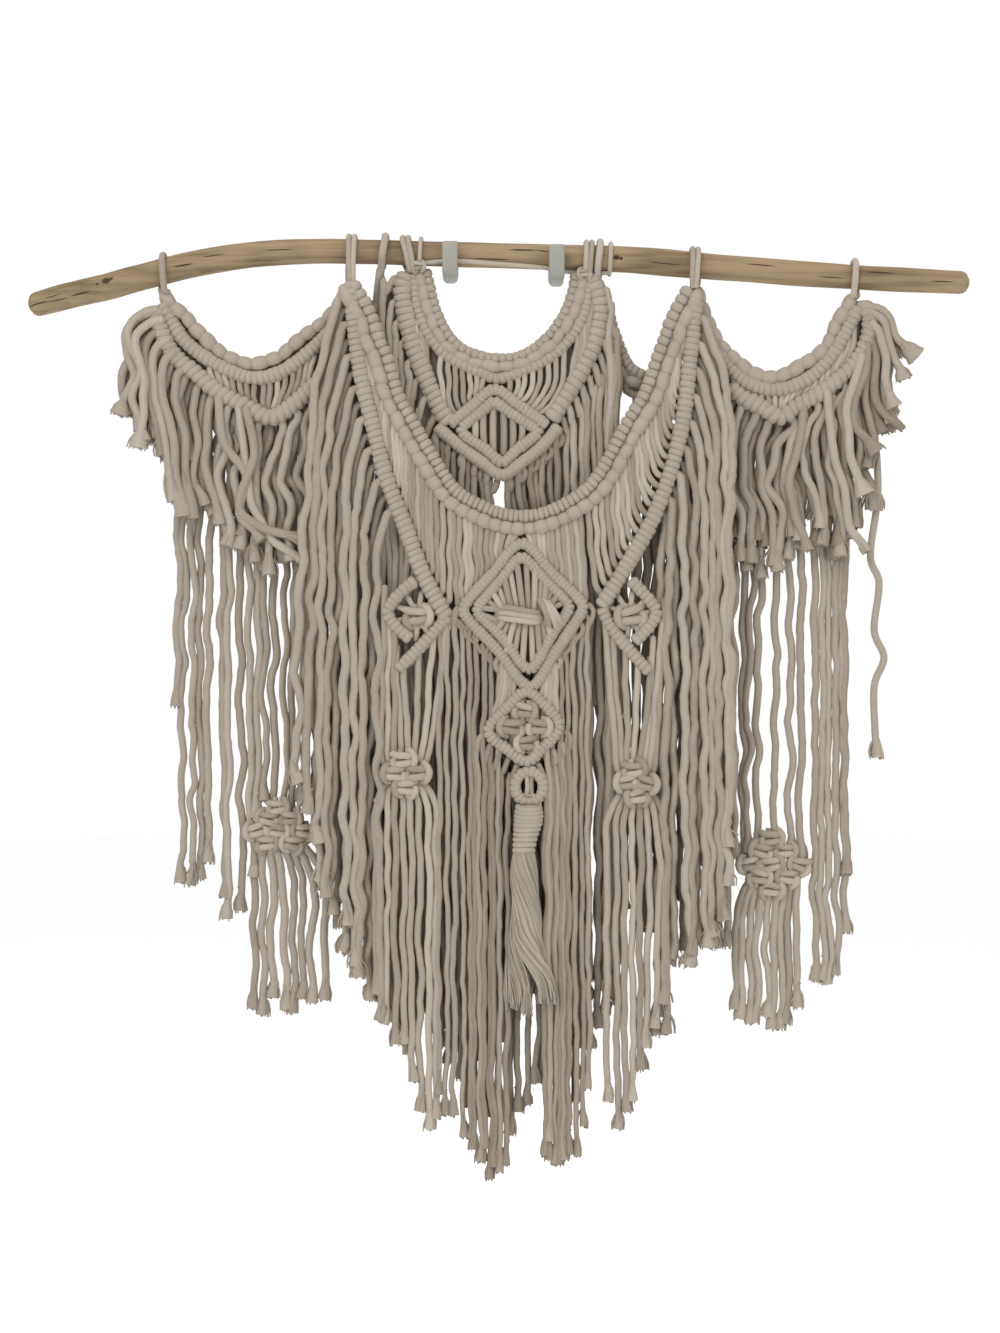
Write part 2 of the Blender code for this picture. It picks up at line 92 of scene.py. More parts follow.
def makeCamera():
    centreX = (view["widthPx"] / 2 - view["stickPx"][0]) * view["mmPerPx"] * mm
    centreZ = (view["stickPx"][1] - view["heightPx"] / 2) * view["mmPerPx"] * mm
    lens = bpy.data.cameras.new("camera")
    lens.sensor_width = view["sensor"]  # fits the frame's long side, its height
    lens.lens = view["sensor"] * view["distance"] / (view["heightPx"] * view["mmPerPx"] * mm)
    camera = bpy.data.objects.new("camera", lens)
    camera.location = (centreX, view["frontY"] - view["distance"], centreZ - view["lower"])
    camera.rotation_euler = (math.pi / 2, 0, 0)
    scene.collection.objects.link(camera)
    scene.camera = camera


lighting = {
    # name: place and target in metres, size, watts
    "key": ((-1.1, -2.1, 1.5), (0, 0, -0.3), 1.4, 26.0),
    "fill": ((1.7, -2.0, 0.1), (0, 0, -0.35), 1.8, 6.0),
    "back": ((0.6, 2.2, 0.9), (0, 0, -0.3), 2.0, 8.0),
}
lampColour = (1.0, 0.985, 0.96)
softLight = {"front": 0.62, "behind": 0.22, "above": 1.0}  # strength from each side


def makeLights():
    for name, (place, target, size, watts) in lighting.items():
        lamp = bpy.data.lights.new(name, "AREA")
        lamp.size = size
        lamp.energy = watts
        lamp.color = lampColour
        holder = bpy.data.objects.new(name, lamp)
        holder.location = place
        aim = [t - p for t, p in zip(target, place)]
        holder.rotation_euler = Vector(aim).to_track_quat("-Z", "Y").to_euler()
        scene.collection.objects.link(holder)
    world = bpy.data.worlds.new("studio")
    scene.world = world
    world.use_nodes = True
    tree = world.node_tree
    tree.nodes.clear()
    seen = addNode(tree, "ShaderNodeBackground", {"Color": colour("#FFFFFF"), "Strength": 1.0})
    # Soft light comes mostly from the front and from above
    place = addNode(tree, "ShaderNodeTexCoord")
    axes = addNode(tree, "ShaderNodeSeparateXYZ", {0: place.outputs["Generated"]})
    front = addNode(tree, "ShaderNodeMapRange",
                    {"Value": axes.outputs["Y"], "From Min": 0.3, "From Max": -0.7,
                     "To Min": softLight["behind"], "To Max": softLight["front"]})
    above = addNode(tree, "ShaderNodeMapRange",
                    {"Value": axes.outputs["Z"], "From Min": 0.35, "From Max": 1.0,
                     "To Min": 0.0, "To Max": softLight["above"]})
    total = addNode(tree, "ShaderNodeMath", {0: front, 1: above}, operation="ADD")
    light = addNode(tree, "ShaderNodeBackground", {"Color": colour("#FFFDF8"), "Strength": total})
    ray = addNode(tree, "ShaderNodeLightPath")
    mix = addNode(tree, "ShaderNodeMixShader", {0: ray.outputs["Is Camera Ray"], 1: light, 2: seen})
    addNode(tree, "ShaderNodeOutputWorld", {"Surface": mix})
    scene.view_settings.view_transform = "Standard"


paperFloor = {"radius": 9.0, "height": -1.02, "colour": "#F3F6FB", "glow": 0.2}


def makeFloor():
    bpy.ops.mesh.primitive_circle_add(vertices=64, radius=paperFloor["radius"], fill_type="NGON",
                                      location=(0, 0, 0))
    floor = bpy.context.object
    floor.name = "floor"
    for vertex in floor.data.vertices:
        vertex.co.z = paperFloor["height"]
    # Matt paper: the faint glow keeps its far part as pale as the near one
    paper = newMaterial("matt_paper_floor", {
        "Base Color": colour(paperFloor["colour"]), "Roughness": 0.9, "Emission Color": colour("#FFFFFF"),
        "Emission Strength": paperFloor["glow"]})[0]
    floor.data.materials.append(paper)


makeCamera()
makeLights()
makeFloor()
print("camera, lights and floor")


# Materials.

# Lengths in metres: of a streak along the fibres, of one turn of the twist, and the fibres' height
cotton = {"colour": "#B3AA9D", "shade": "#897E71", "streak": 0.012, "lay": 0.03, "bump": 0.00035}


def makeCotton(name, values):
    # Soft single-strand cotton string, loosely twisted: matt, a little fuzzy, faint streaks along its fibres
    made, tree, shader = newMaterial(name, {
        "Roughness": 0.92, "Sheen Weight": 0.12, "Sheen Roughness": 0.5, "Specular IOR Level": 0.2})
    around = addNode(tree, "ShaderNodeAttribute", attribute_name="around")
    along = addNode(tree, "ShaderNodeAttribute", attribute_name="along")
    tone = addNode(tree, "ShaderNodeAttribute", attribute_name="tone")
    turns = addNode(tree, "ShaderNodeMath", {0: along.outputs["Fac"], 1: 2 * math.pi / values["lay"]},
                    operation="MULTIPLY")
    twisted = addNode(tree, "ShaderNodeVectorRotate", {"Vector": around.outputs["Vector"], "Angle": turns},
                      rotation_type="Z_AXIS")
    start = addNode(tree, "ShaderNodeMath", {0: tone.outputs["Fac"], 1: 40.0}, operation="MULTIPLY")
    length = addNode(tree, "ShaderNodeMath", {0: along.outputs["Fac"], 1: 1 / values["streak"], 2: start},
                     operation="MULTIPLY_ADD")
    forward = addNode(tree, "ShaderNodeCombineXYZ", {"Z": length})
    fibrePlace = addNode(tree, "ShaderNodeVectorMath", {0: twisted, 1: forward}, operation="ADD")
    fibres = addNode(tree, "ShaderNodeTexNoise",
                     {"Vector": fibrePlace, "Scale": 3.2, "Detail": 3.0, "Roughness": 0.65})
    place = addNode(tree, "ShaderNodeTexCoord")
    # Faint patches 25 mm across
    patches = addNode(tree, "ShaderNodeTexNoise",
                      {"Vector": place.outputs["Object"], "Scale": 38.0, "Detail": 2.0})
    # Patches plus the tone attribute give random tone on most cords. A cord given a low tone takes the shade
    # colour, which is painted shade.
    patchToneAndShade = addNode(tree, "ShaderNodeMath", {0: patches, 1: 0.5, 2: tone.outputs["Fac"]},
                    operation="MULTIPLY_ADD")
    fibreToneAndShade = addNode(tree, "ShaderNodeMath", {0: fibres, 1: 0.9, 2: patchToneAndShade}, operation="MULTIPLY_ADD")
    ramp = addNode(tree, "ShaderNodeMapRange", {"Value": fibreToneAndShade, "From Min": 0.45, "From Max": 1.65})
    tint = addNode(tree, "ShaderNodeMix",
                   {0: ramp, 6: colour(values["shade"]), 7: colour(values["colour"])}, data_type="RGBA")
    bump = addNode(tree, "ShaderNodeBump", {"Strength": 0.7, "Distance": values["bump"], "Height": fibres})
    tree.links.new(tint.outputs[2], shader.inputs["Base Color"])
    tree.links.new(bump.outputs[0], shader.inputs["Normal"])
    return made


# Geometry node trees.

def makeCordTree():
    # Turns wires into round cords with a sway that neighbours share
    tree = newTree("cord", [
        ("Routes", "Geometry", None), ("Sides", "Int", 8), ("Step", "Float", 0.005), ("Sway", "Float", 0.0),
        ("Sway length", "Float", 0.05), ("Shared", "Float", 9.0), ("Own", "Float", 1.6),
        ("Kink", "Float", 0.004), ("Material", "Material", None)])
    given = addNode(tree, "NodeGroupInput")
    curves = addNode(tree, "GeometryNodeMeshToCurve", {"Mesh": given.outputs["Routes"]})
    smooth = addNode(tree, "GeometryNodeCurveSplineType", {"Curve": curves}, spline_type="CATMULL_ROM")
    even = addNode(tree, "GeometryNodeResampleCurve", {"Curve": smooth, "Length": given.outputs["Step"]},
                   mode="LENGTH")
    place = addNode(tree, "GeometryNodeInputPosition")
    axes = addNode(tree, "ShaderNodeSeparateXYZ", {0: place})
    play = addNode(tree, "GeometryNodeInputNamedAttribute", {"Name": "play"}, data_type="FLOAT")
    tone = addNode(tree, "GeometryNodeInputNamedAttribute", {"Name": "tone"}, data_type="FLOAT")
    spread = addNode(tree, "ShaderNodeVectorMath", {0: place, 1: (14.0, 30.0, 13.0)}, operation="MULTIPLY")
    drift = addNode(tree, "ShaderNodeTexNoise", {"Vector": spread, "Scale": 1.0, "Detail": 1.0})
    bend = addNode(tree, "ShaderNodeMath", {0: drift, 1: given.outputs["Shared"]}, operation="MULTIPLY")
    own = addNode(tree, "ShaderNodeMath", {0: tone, 1: given.outputs["Own"], 2: bend},
                  operation="MULTIPLY_ADD")
    patchPlace = addNode(tree, "ShaderNodeVectorMath", {0: place, 1: (60.0, 60.0, 17.0)},
                         operation="MULTIPLY")
    patches = addNode(tree, "ShaderNodeTexNoise", {"Vector": patchPlace, "Scale": 1.0, "Detail": 1.0})
    liveliness = addNode(tree, "ShaderNodeMapRange", {"Value": patches, "From Min": 0.35, "From Max": 0.65,
                                                      "To Min": 0.1, "To Max": 1.3})
    perLength = addNode(tree, "ShaderNodeMath", {0: 2 * math.pi, 1: given.outputs["Sway length"]},
                        operation="DIVIDE")
    phase = addNode(tree, "ShaderNodeMath", {0: axes.outputs["Z"], 1: perLength, 2: own},
                    operation="MULTIPLY_ADD")
    sideways = addNode(tree, "ShaderNodeMath", {0: phase}, operation="SINE")
    later = addNode(tree, "ShaderNodeMath", {0: phase, 1: 1.37}, operation="MULTIPLY")
    outwards = addNode(tree, "ShaderNodeMath", {0: later}, operation="COSINE")
    allowed = addNode(tree, "ShaderNodeMath", {0: play, 1: given.outputs["Sway"]}, operation="MULTIPLY")
    reach = addNode(tree, "ShaderNodeMath", {0: allowed, 1: liveliness}, operation="MULTIPLY")
    half = addNode(tree, "ShaderNodeMath", {0: reach, 1: 0.45}, operation="MULTIPLY")
    swayX = addNode(tree, "ShaderNodeMath", {0: sideways, 1: reach}, operation="MULTIPLY")
    swayY = addNode(tree, "ShaderNodeMath", {0: outwards, 1: half}, operation="MULTIPLY")
    wave = addNode(tree, "ShaderNodeCombineXYZ", {"X": swayX, "Y": swayY})
    kinkPlace = addNode(tree, "ShaderNodeVectorMath", {0: place, 1: (120.0, 60.0, 34.0)},
                        operation="MULTIPLY")
    kinks = addNode(tree, "ShaderNodeTexNoise", {"Vector": kinkPlace, "Scale": 1.0, "Detail": 2.0})
    middled = addNode(tree, "ShaderNodeVectorMath", {0: kinks.outputs["Color"], 1: (0.5, 0.5, 0.5)},
                      operation="SUBTRACT")
    level = addNode(tree, "ShaderNodeVectorMath", {0: middled, 1: (1.0, 0.6, 0.0)}, operation="MULTIPLY")
    kinkReach = addNode(tree, "ShaderNodeMath", {0: play, 1: given.outputs["Kink"]}, operation="MULTIPLY")
    kinked = addNode(tree, "ShaderNodeVectorMath", {0: level, "Scale": kinkReach}, operation="SCALE")
    shift = addNode(tree, "ShaderNodeVectorMath", {0: wave, 1: kinked}, operation="ADD")
    swayed = addNode(tree, "GeometryNodeSetPosition", {"Geometry": even, "Offset": shift})
    walked = addNode(tree, "GeometryNodeSplineParameter")
    rail = addNode(tree, "GeometryNodeStoreNamedAttribute",
                   {"Geometry": swayed, "Name": "along", "Value": walked.outputs["Length"]},
                   data_type="FLOAT", domain="POINT")
    ring = addNode(tree, "GeometryNodeCurvePrimitiveCircle",
                   {"Resolution": given.outputs["Sides"], "Radius": 1.0})
    ringPlace = addNode(tree, "GeometryNodeInputPosition")
    profile = addNode(tree, "GeometryNodeStoreNamedAttribute",
                      {"Geometry": ring, "Name": "around", "Value": ringPlace},
                      data_type="FLOAT_VECTOR", domain="POINT")
    radius = addNode(tree, "GeometryNodeInputNamedAttribute", {"Name": "radius"}, data_type="FLOAT")
    tube = addNode(tree, "GeometryNodeCurveToMesh",
                   {"Curve": rail, "Profile Curve": profile, "Scale": radius, "Fill Caps": True})
    shaded = addNode(tree, "GeometryNodeSetShadeSmooth", {"Geometry": tube, "Shade Smooth": True})
    whole = addNode(tree, "GeometryNodeRealizeInstances", {"Geometry": shaded})
    dressed = addNode(tree, "GeometryNodeSetMaterial",
                      {"Geometry": whole, "Material": given.outputs["Material"]})
    addNode(tree, "NodeGroupOutput", {0: dressed})
    return tree


def makeRowTree():
    # Sets copies of one knot part side by side along a path
    tree = newTree("knotRow", [("Path", "Geometry", None), ("Knot", "Object", None), ("Count", "Int", 10),
                               ("Side", "Float", 0.0), ("Lift", "Float", 0.0), ("Lean", "Float", 0.0),
                               ("Lean spread", "Float", 0.1), ("Size", "Vector", (1.0, 1.0, 1.0)),
                               ("Size spread", "Float", 0.06), ("Bunch", "Float", 0.0), ("Seed", "Int", 1),
                               ("Material", "Material", None)])
    given = addNode(tree, "NodeGroupInput")
    curve = addNode(tree, "GeometryNodeMeshToCurve", {"Mesh": given.outputs["Path"]})
    smooth = addNode(tree, "GeometryNodeCurveSplineType", {"Curve": curve}, spline_type="CATMULL_ROM")
    points = addNode(tree, "GeometryNodeMeshLine", {"Count": given.outputs["Count"]})
    index = addNode(tree, "GeometryNodeInputIndex")
    middle = addNode(tree, "ShaderNodeMath", {0: index, 1: 0.5}, operation="ADD")
    even = addNode(tree, "ShaderNodeMath", {0: middle, 1: given.outputs["Count"]}, operation="DIVIDE")
    turnOf = addNode(tree, "ShaderNodeMath", {0: even, 1: 2 * math.pi}, operation="MULTIPLY")
    wave = addNode(tree, "ShaderNodeMath", {0: turnOf}, operation="SINE")
    stretch = addNode(tree, "ShaderNodeMath", {0: given.outputs["Bunch"], 1: 1 / (2 * math.pi)},
                      operation="MULTIPLY")
    share = addNode(tree, "ShaderNodeMath", {0: wave, 1: stretch, 2: even}, operation="MULTIPLY_ADD")
    steep = addNode(tree, "ShaderNodeMath", {0: turnOf}, operation="COSINE")
    longer = addNode(tree, "ShaderNodeMath", {0: steep, 1: given.outputs["Bunch"], 2: 1.0},
                     operation="MULTIPLY_ADD")
    reach = addNode(tree, "ShaderNodeCombineXYZ", {"X": longer, "Y": 1.0, "Z": 1.0})
    spot = addNode(tree, "GeometryNodeSampleCurve", {"Curves": smooth, "Factor": share},
                   mode="FACTOR", use_all_curves=True)
    backward = addNode(tree, "FunctionNodeInputVector", vector=(0.0, 1.0, 0.0))
    across = addNode(tree, "ShaderNodeVectorMath", {0: spot.outputs["Tangent"], 1: backward},
                     operation="CROSS_PRODUCT")
    aside = addNode(tree, "ShaderNodeVectorMath", {0: across, "Scale": given.outputs["Side"]},
                    operation="SCALE")
    up = addNode(tree, "ShaderNodeVectorMath", {0: backward, "Scale": given.outputs["Lift"]},
                 operation="SCALE")
    moved = addNode(tree, "ShaderNodeVectorMath", {0: aside, 1: up}, operation="ADD")
    placed = addNode(tree, "GeometryNodeSetPosition",
                     {"Geometry": points, "Position": spot.outputs["Position"], "Offset": moved})
    facing = addNode(tree, "FunctionNodeAxesToRotation",
                     {"Primary Axis": spot.outputs["Tangent"], "Secondary Axis": backward},
                     primary_axis="X", secondary_axis="Y")
    lowLean = addNode(tree, "ShaderNodeMath", {0: given.outputs["Lean"], 1: given.outputs["Lean spread"]},
                      operation="SUBTRACT")
    highLean = addNode(tree, "ShaderNodeMath", {0: given.outputs["Lean"], 1: given.outputs["Lean spread"]},
                       operation="ADD")
    lean = addNode(tree, "FunctionNodeRandomValue",
                   {2: lowLean, 3: highLean, "Seed": given.outputs["Seed"]}, data_type="FLOAT")
    turn = addNode(tree, "FunctionNodeAxisAngleToRotation",
                   {"Axis": (0.0, 1.0, 0.0), "Angle": lean.outputs[1]})
    turned = addNode(tree, "FunctionNodeRotateRotation", {0: facing, 1: turn}, rotation_space="LOCAL")
    small = addNode(tree, "ShaderNodeMath", {0: 1.0, 1: given.outputs["Size spread"]}, operation="SUBTRACT")
    large = addNode(tree, "ShaderNodeMath", {0: 1.0, 1: given.outputs["Size spread"]}, operation="ADD")
    otherSeed = addNode(tree, "ShaderNodeMath", {0: given.outputs["Seed"], 1: 57.0}, operation="ADD")
    grow = addNode(tree, "FunctionNodeRandomValue",
                   {2: small, 3: large, "Seed": otherSeed}, data_type="FLOAT")
    size = addNode(tree, "ShaderNodeVectorMath", {0: given.outputs["Size"], "Scale": grow.outputs[1]},
                   operation="SCALE")
    knot = addNode(tree, "GeometryNodeObjectInfo", {"Object": given.outputs["Knot"], "As Instance": True},
                   transform_space="ORIGINAL")
    fitted = addNode(tree, "ShaderNodeVectorMath", {0: size, 1: reach}, operation="MULTIPLY")
    copies = addNode(tree, "GeometryNodeInstanceOnPoints",
                     {"Points": placed, "Instance": knot.outputs["Geometry"],
                      "Rotation": turned, "Scale": fitted})
    toneSeed = addNode(tree, "ShaderNodeMath", {0: given.outputs["Seed"], 1: 91.0}, operation="ADD")
    tones = addNode(tree, "FunctionNodeRandomValue", {2: 0.2, 3: 0.8, "Seed": toneSeed}, data_type="FLOAT")
    toned = addNode(tree, "GeometryNodeStoreNamedAttribute",
                    {"Geometry": copies, "Name": "tone", "Value": tones.outputs[1]},
                    data_type="FLOAT", domain="INSTANCE")
    whole = addNode(tree, "GeometryNodeRealizeInstances", {"Geometry": toned})
    dressed = addNode(tree, "GeometryNodeSetMaterial",
                      {"Geometry": whole, "Material": given.outputs["Material"]})
    addNode(tree, "NodeGroupOutput", {0: dressed})
    return tree


# Wires, rows and pieces.

def wires(name, cords):
    # One wire for each cord: route and radii in mm, tone, where it may sway, and whether it is closed
    places, edges, radii, tones, plays = [], [], [], [], []
    for cord in cords:
        first, count = len(places), len(cord["route"])
        radius = cord["radius"] if isinstance(cord["radius"], list) else [cord["radius"]] * count
        places += [tuple(v * mm for v in point) for point in cord["route"]]
        edges += [(first + k, first + k + 1) for k in range(count - 1)]
        if cord.get("closed"):
            edges.append((first + count - 1, first))
        radii += [r * mm for r in radius]
        tones += [cord.get("tone", 0.5)] * count
        plays += cord.get("play", [0.0] * count)
    mesh = bpy.data.meshes.new(name)
    mesh.from_pydata(places, edges, [])
    for label, values in (("radius", radii), ("tone", tones), ("play", plays)):
        mesh.attributes.new(label, "FLOAT", "POINT").data.foreach_set("value", values)
    return mesh


def grown(name, tree, mesh, inputs):
    # Runs a tree on a wire mesh and keeps the result as a plain mesh
    holder = bpy.data.objects.new(name, mesh)
    scene.collection.objects.link(holder)
    modifier = holder.modifiers.new("grow", "NODES")
    modifier.node_group = tree
    for item in tree.interface.items_tree:
        if item.in_out == "INPUT" and item.name in inputs:
            modifier[item.identifier] = inputs[item.name]
    evaluated = holder.evaluated_get(bpy.context.evaluated_depsgraph_get())
    made = bpy.data.meshes.new_from_object(evaluated)
    holder.modifiers.remove(modifier)
    holder.data = made
    bpy.data.meshes.remove(mesh)
    return holder


def cordsOf(name, cords, sides=8, step=4.0, sway=0.0, swayLength=50.0, shared=9.0, own=1.6, kink=5.0,
            material=None):
    return grown(name, cordTree, wires(name, cords),
                 {"Sides": sides, "Step": step * mm, "Sway": sway * mm, "Sway length": swayLength * mm,
                  "Shared": shared, "Own": own, "Kink": kink * mm, "Material": material or cottonString})


def rowOf(name, path, knot, count, closed=False, side=0.0, lift=0.0, lean=0.0, leanSpread=5.0,
          size=(1, 1, 1), sizeSpread=0.06, bunch=0.0, seed=1):
    return grown(name, rowTree, wires(name, [{"route": path, "radius": 1.0, "closed": closed}]),
                 {"Knot": knot, "Count": count, "Side": side * mm, "Lift": lift * mm,
                  "Lean": math.radians(lean), "Lean spread": math.radians(leanSpread),
                  "Size": [float(s) for s in size], "Size spread": sizeSpread, "Bunch": bunch, "Seed": seed,
                  "Material": cottonString})


def piece(name, parts, nodes):
    # Joins the parts and lets them stand for the CAD nodes
    bpy.ops.object.select_all(action="DESELECT")
    for part in parts:
        part.select_set(True)
    bpy.context.view_layer.objects.active = parts[0]
    if len(parts) > 1:
        bpy.ops.object.join()
    made = parts[0]
    made.name = name
    made.data.name = name
    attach(made, "root")
    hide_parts(*nodes)


def smoothPath(points, step=1.0):
    # Points every step mm along a smooth curve through the given ones
    given = np.array(points, float)
    given = np.vstack([2 * given[0] - given[1], given, 2 * given[-1] - given[-2]])
    fine = []
    for a, b, c, d in zip(given, given[1:], given[2:], given[3:]):
        for t in np.linspace(0, 1, 16, endpoint=False):
            fine.append(0.5 * (2 * b + (c - a) * t + (2 * a - 5 * b + 4 * c - d) * t * t
                               + (3 * b - a - 3 * c + d) * t ** 3))
    fine.append(given[-2])
    fine = np.array(fine)
    run = np.concatenate([[0], np.cumsum(np.linalg.norm(np.diff(fine, axis=0), axis=1))])
    wanted = np.linspace(0, run[-1], max(3, int(run[-1] / step) + 1))
    return np.column_stack([np.interp(wanted, run, fine[:, k]) for k in range(2)])


def pathLength(path):
    return float(np.linalg.norm(np.diff(path, axis=0), axis=1).sum())


def spot(path, share, side=0.0):
    # Point (x, z) at a share of a smooth path, moved to the left of its direction
    share = min(max(share, 0.0), 1.0)
    place = share * (len(path) - 1)
    low = min(int(place), len(path) - 2)
    t = place - low
    x, z = path[low] * (1 - t) + path[low + 1] * t
    dx, dz = path[low + 1] - path[low]
    size = math.hypot(dx, dz)
    return x - dz / size * side, z + dx / size * side


def shareAt(path, x):
    # Share of a path at which it passes x
    return float(np.argmin(np.abs(path[:, 0] - x))) / (len(path) - 1)


def at(values, share):
    # Value at a share of a short list
    place = min(max(share, 0.0), 1.0) * (len(values) - 1)
    low = min(int(place), len(values) - 2) if len(values) > 1 else 0
    return values[0] if len(values) == 1 else values[low] + (values[low + 1] - values[low]) * (place - low)


def flat(points, y):
    return [(x, y, z) for x, z in points]


cottonString = makeCotton("cotton_string", cotton)
cordTree = makeCordTree()
rowTree = makeRowTree()

# Parts of knots, in mm about their own middle: x along the row, y towards the wall, z across the row.
wrap = {"across": 4.5, "deep": 3.4, "radius": 2.95, "points": 10, "sides": 6}
bar = {"route": [(-4.6, 5.5, 0.0), (-5.3, 3.0, 0.0), (-4.1, 0.5, 0.0), (0.0, -0.9, 0.0), (4.1, 0.5, 0.0),
                 (5.3, 3.0, 0.0), (4.6, 5.5, 0.0)],
       "radius": [2.9, 3.7, 4.5, 4.85, 4.5, 3.7, 2.9], "sides": 8}


def makeWrap():
    turns = [2 * math.pi * k / wrap["points"] for k in range(wrap["points"])]
    route = [(0.0, math.sin(t) * wrap["deep"], math.cos(t) * wrap["across"]) for t in turns]
    return cordsOf("wrapPart", [{"route": route, "radius": wrap["radius"], "closed": True}], wrap["sides"],
                   2.4)


def makeBar():
    return cordsOf("barPart", [{"route": bar["route"], "radius": bar["radius"]}], bar["sides"], 1.7)


# A lark's head knot: two wraps side by side and a bar across them
larksHead = {"pitch": 10.4, "wrapSide": 4.9, "barSide": -4.6}

wrapPart = makeWrap()
barPart = makeBar()
print("knot parts", len(wrapPart.data.polygons), len(barPart.data.polygons))


def bandOf(name, path, y, pitch=5.0, lean=0.0, size=(1, 1, 1), closed=False, seed=1, core=3.0):
    # A row of half hitches over a core cord
    route = flat(path, y)
    length = pathLength(smoothPath(path + path[:1] if closed else path))
    count = max(2, round(length / pitch))
    return [rowOf(name, route, wrapPart, count, closed, lean=lean, size=size, seed=seed),
            cordsOf(name + "Core", [{"route": route, "radius": core, "closed": closed}], 6, 5.0)]


def headingOf(name, path, y, pitch=11.4, size=1.0, seed=1, bunch=0.0, barSide=larksHead["barSide"],
              barAcross=1.12):
    # A row of lark's head knots: two wraps on the inside of the arch, a bar on its outside
    route = flat(path, y)
    knots = round(pathLength(smoothPath(path)) / pitch)
    along = pitch / larksHead["pitch"]
    inside = flat([spot(smoothPath(path), k / 20, larksHead["wrapSide"] * size) for k in range(21)], y)
    wraps = rowOf(name, route, wrapPart, knots * 2, side=larksHead["wrapSide"] * size, bunch=bunch,
                  seed=seed, size=(along * 1.06, size * 1.05, size * 0.78))
    bars = rowOf(name + "Bars", route, barPart, knots, side=barSide * size, lift=-1.4, leanSpread=14,
                 bunch=bunch, size=(along * 0.92, size * 1.05, size * barAcross), sizeSpread=0.1,
                 seed=seed + 1)
    cores = [{"route": inside, "radius": 3.6 * size}, {"route": flat(path, y + 1.5), "radius": 3.5 * size}]
    return [wraps, bars, cordsOf(name + "Core", cores, 6, 5.0)]


# Cords that run between rows or hang free.

dice = random.Random(11)


def legs(values, start, end):
    # Cords from the underside of one row into the next row
    first, last = smoothPath(start), smoothPath(end)
    cords = []
    for k in range(values["count"]):
        share = (k + 0.5) / values["count"]
        if "x" in values:
            ends = values.get("toX", values["x"])
            a, b = shareAt(first, at(values["x"], share)), shareAt(last, at(ends, share))
        else:
            a, b = at(values["from"], share), at(values["to"], share)
        y = values["y"]
        rootX, rootZ = spot(first, a, values["leave"] * 0.4)
        outX, outZ = spot(first, a, values["leave"])
        inX, inZ = spot(last, b, values["enter"])
        endX, endZ = spot(last, b, values["enter"] * 0.2)
        slack = values.get("slack", 0.25)
        route = [(rootX, y + 2.0, rootZ), (outX, y - 1.0, outZ),
                 (outX + (inX - outX) * slack, y - 2.0, outZ + (inZ - outZ) * 0.45),
                 (outX + (inX - outX) * (slack + 0.4), y - 1.0, outZ + (inZ - outZ) * 0.85),
                 (inX, y + 0.5, inZ), (endX, y + 3.0, endZ)]
        cords.append({"route": route, "radius": values["radius"], "tone": dice.random(),
                      "play": [0, 0.2, 1, 1, 0.2, 0]})
    return cords


# A frayed end: loose strands around a brush of fibre, how wide it gets against the cord, and their radii
fray = {"strands": 13, "length": 17.0, "spread": 2.05, "radius": [0.95, 0.95, 0.6], "sides": 3, "step": 5.0,
        "brushShares": (-0.4, 0.05, 0.5, 0.92), "uneven": (0.88, 1.06)}


def hanging(values, start=None):
    # Cords that leave a row, turn down and hang to their tips
    path = smoothPath(start) if start else None
    cords = []
    count = values["count"]
    for k in range(count):
        share = k / max(1, count - 1)
        y = values["y"] + (values.get("stagger", 0.0) if k % 2 else 0.0) + dice.uniform(-0.8, 0.8)
        x = at(values["x"], share) + dice.uniform(-1, 1) * values.get("scatter", 0.6)
        foot = at(values["footX"], share) - at(values["x"], share) if "footX" in values else 0.0
        tip = at(values["tips"], share) + fray["length"] + dice.uniform(-1, 1) * values.get("ragged", 8.0)
        if path is None:
            outX, outZ = at(values["fromX"], share), values["fromZ"]
            route = [(outX, y + 2.0, outZ + 6.0), (outX, y, outZ)]
        else:
            a = at(values["roots"], share)
            rootX, rootZ = spot(path, a, values["side"] * 0.25)
            outX, outZ = spot(path, a, values["side"])
            gap = abs(values["side"]) * 0.75
            nx, nz = (outX - rootX) / gap, (outZ - rootZ) / gap
            route = [(rootX, y + 3.0, rootZ), (outX, y - 0.5, outZ)]
            outX, outZ = outX + nx * 3.0, outZ + nz * 3.0 - 3.2
            route.append((outX, y - 0.5, outZ))
        drop = min(at(values["bend"], share), (outZ - tip) * 0.45)
        drift = dice.uniform(-1, 1) * values.get("drift", 2.0) + values.get("trend", 0.0)
        for share in (0.3, 0.6, 1.0):
            route.append((outX + (x - outX) * math.sin(share * math.pi / 2), y, outZ - drop * share))
        route += [(x + foot * 0.8 + drift * 0.5, y, (outZ - drop + tip) / 2), (x + foot + drift, y, tip)]
        r = values["radius"] * dice.uniform(0.93, 1.07)
        cords.append({"route": route, "radius": [r] * (len(route) - 1) + [r * 0.95],
                      "tone": dice.random() * 0.6 - values.get("shade", -0.1),
                      "play": [0, 0, 0.1, 0.4, 0.8, 1, 1, 1][-len(route):]})
    return cords


def curtain(values, top, foot=None):
    # Cords of the layer behind, straight down from one row to another or to their tips. Unless a tone is
    # given, their colour is the shade colour, which is painted shade.
    upper, lower = smoothPath(top), smoothPath(foot) if foot else None
    cords = []
    for k in range(values["count"]):
        share = k / (values["count"] - 1)
        x = at(values["x"], share) + dice.uniform(-0.8, 0.8)
        high = spot(upper, shareAt(upper, x))[1] + values.get("above", 0.0)
        if foot:
            low = spot(lower, shareAt(lower, x))[1]
        else:
            low = at(values["tips"], share) + fray["length"] + dice.uniform(-8, 8)
        y = values["y"] + (2.5 if k % 2 else 0.0)
        route = [(x, y, high + (low - high) * part) for part in (0.0, 0.1, 0.5, 0.9, 1.0)]
        cords.append({"route": route, "radius": values["radius"], "tone": values.get("tone", -1.0),
                      "play": [0, 0.5, 1, 1, 1]})
    return cords


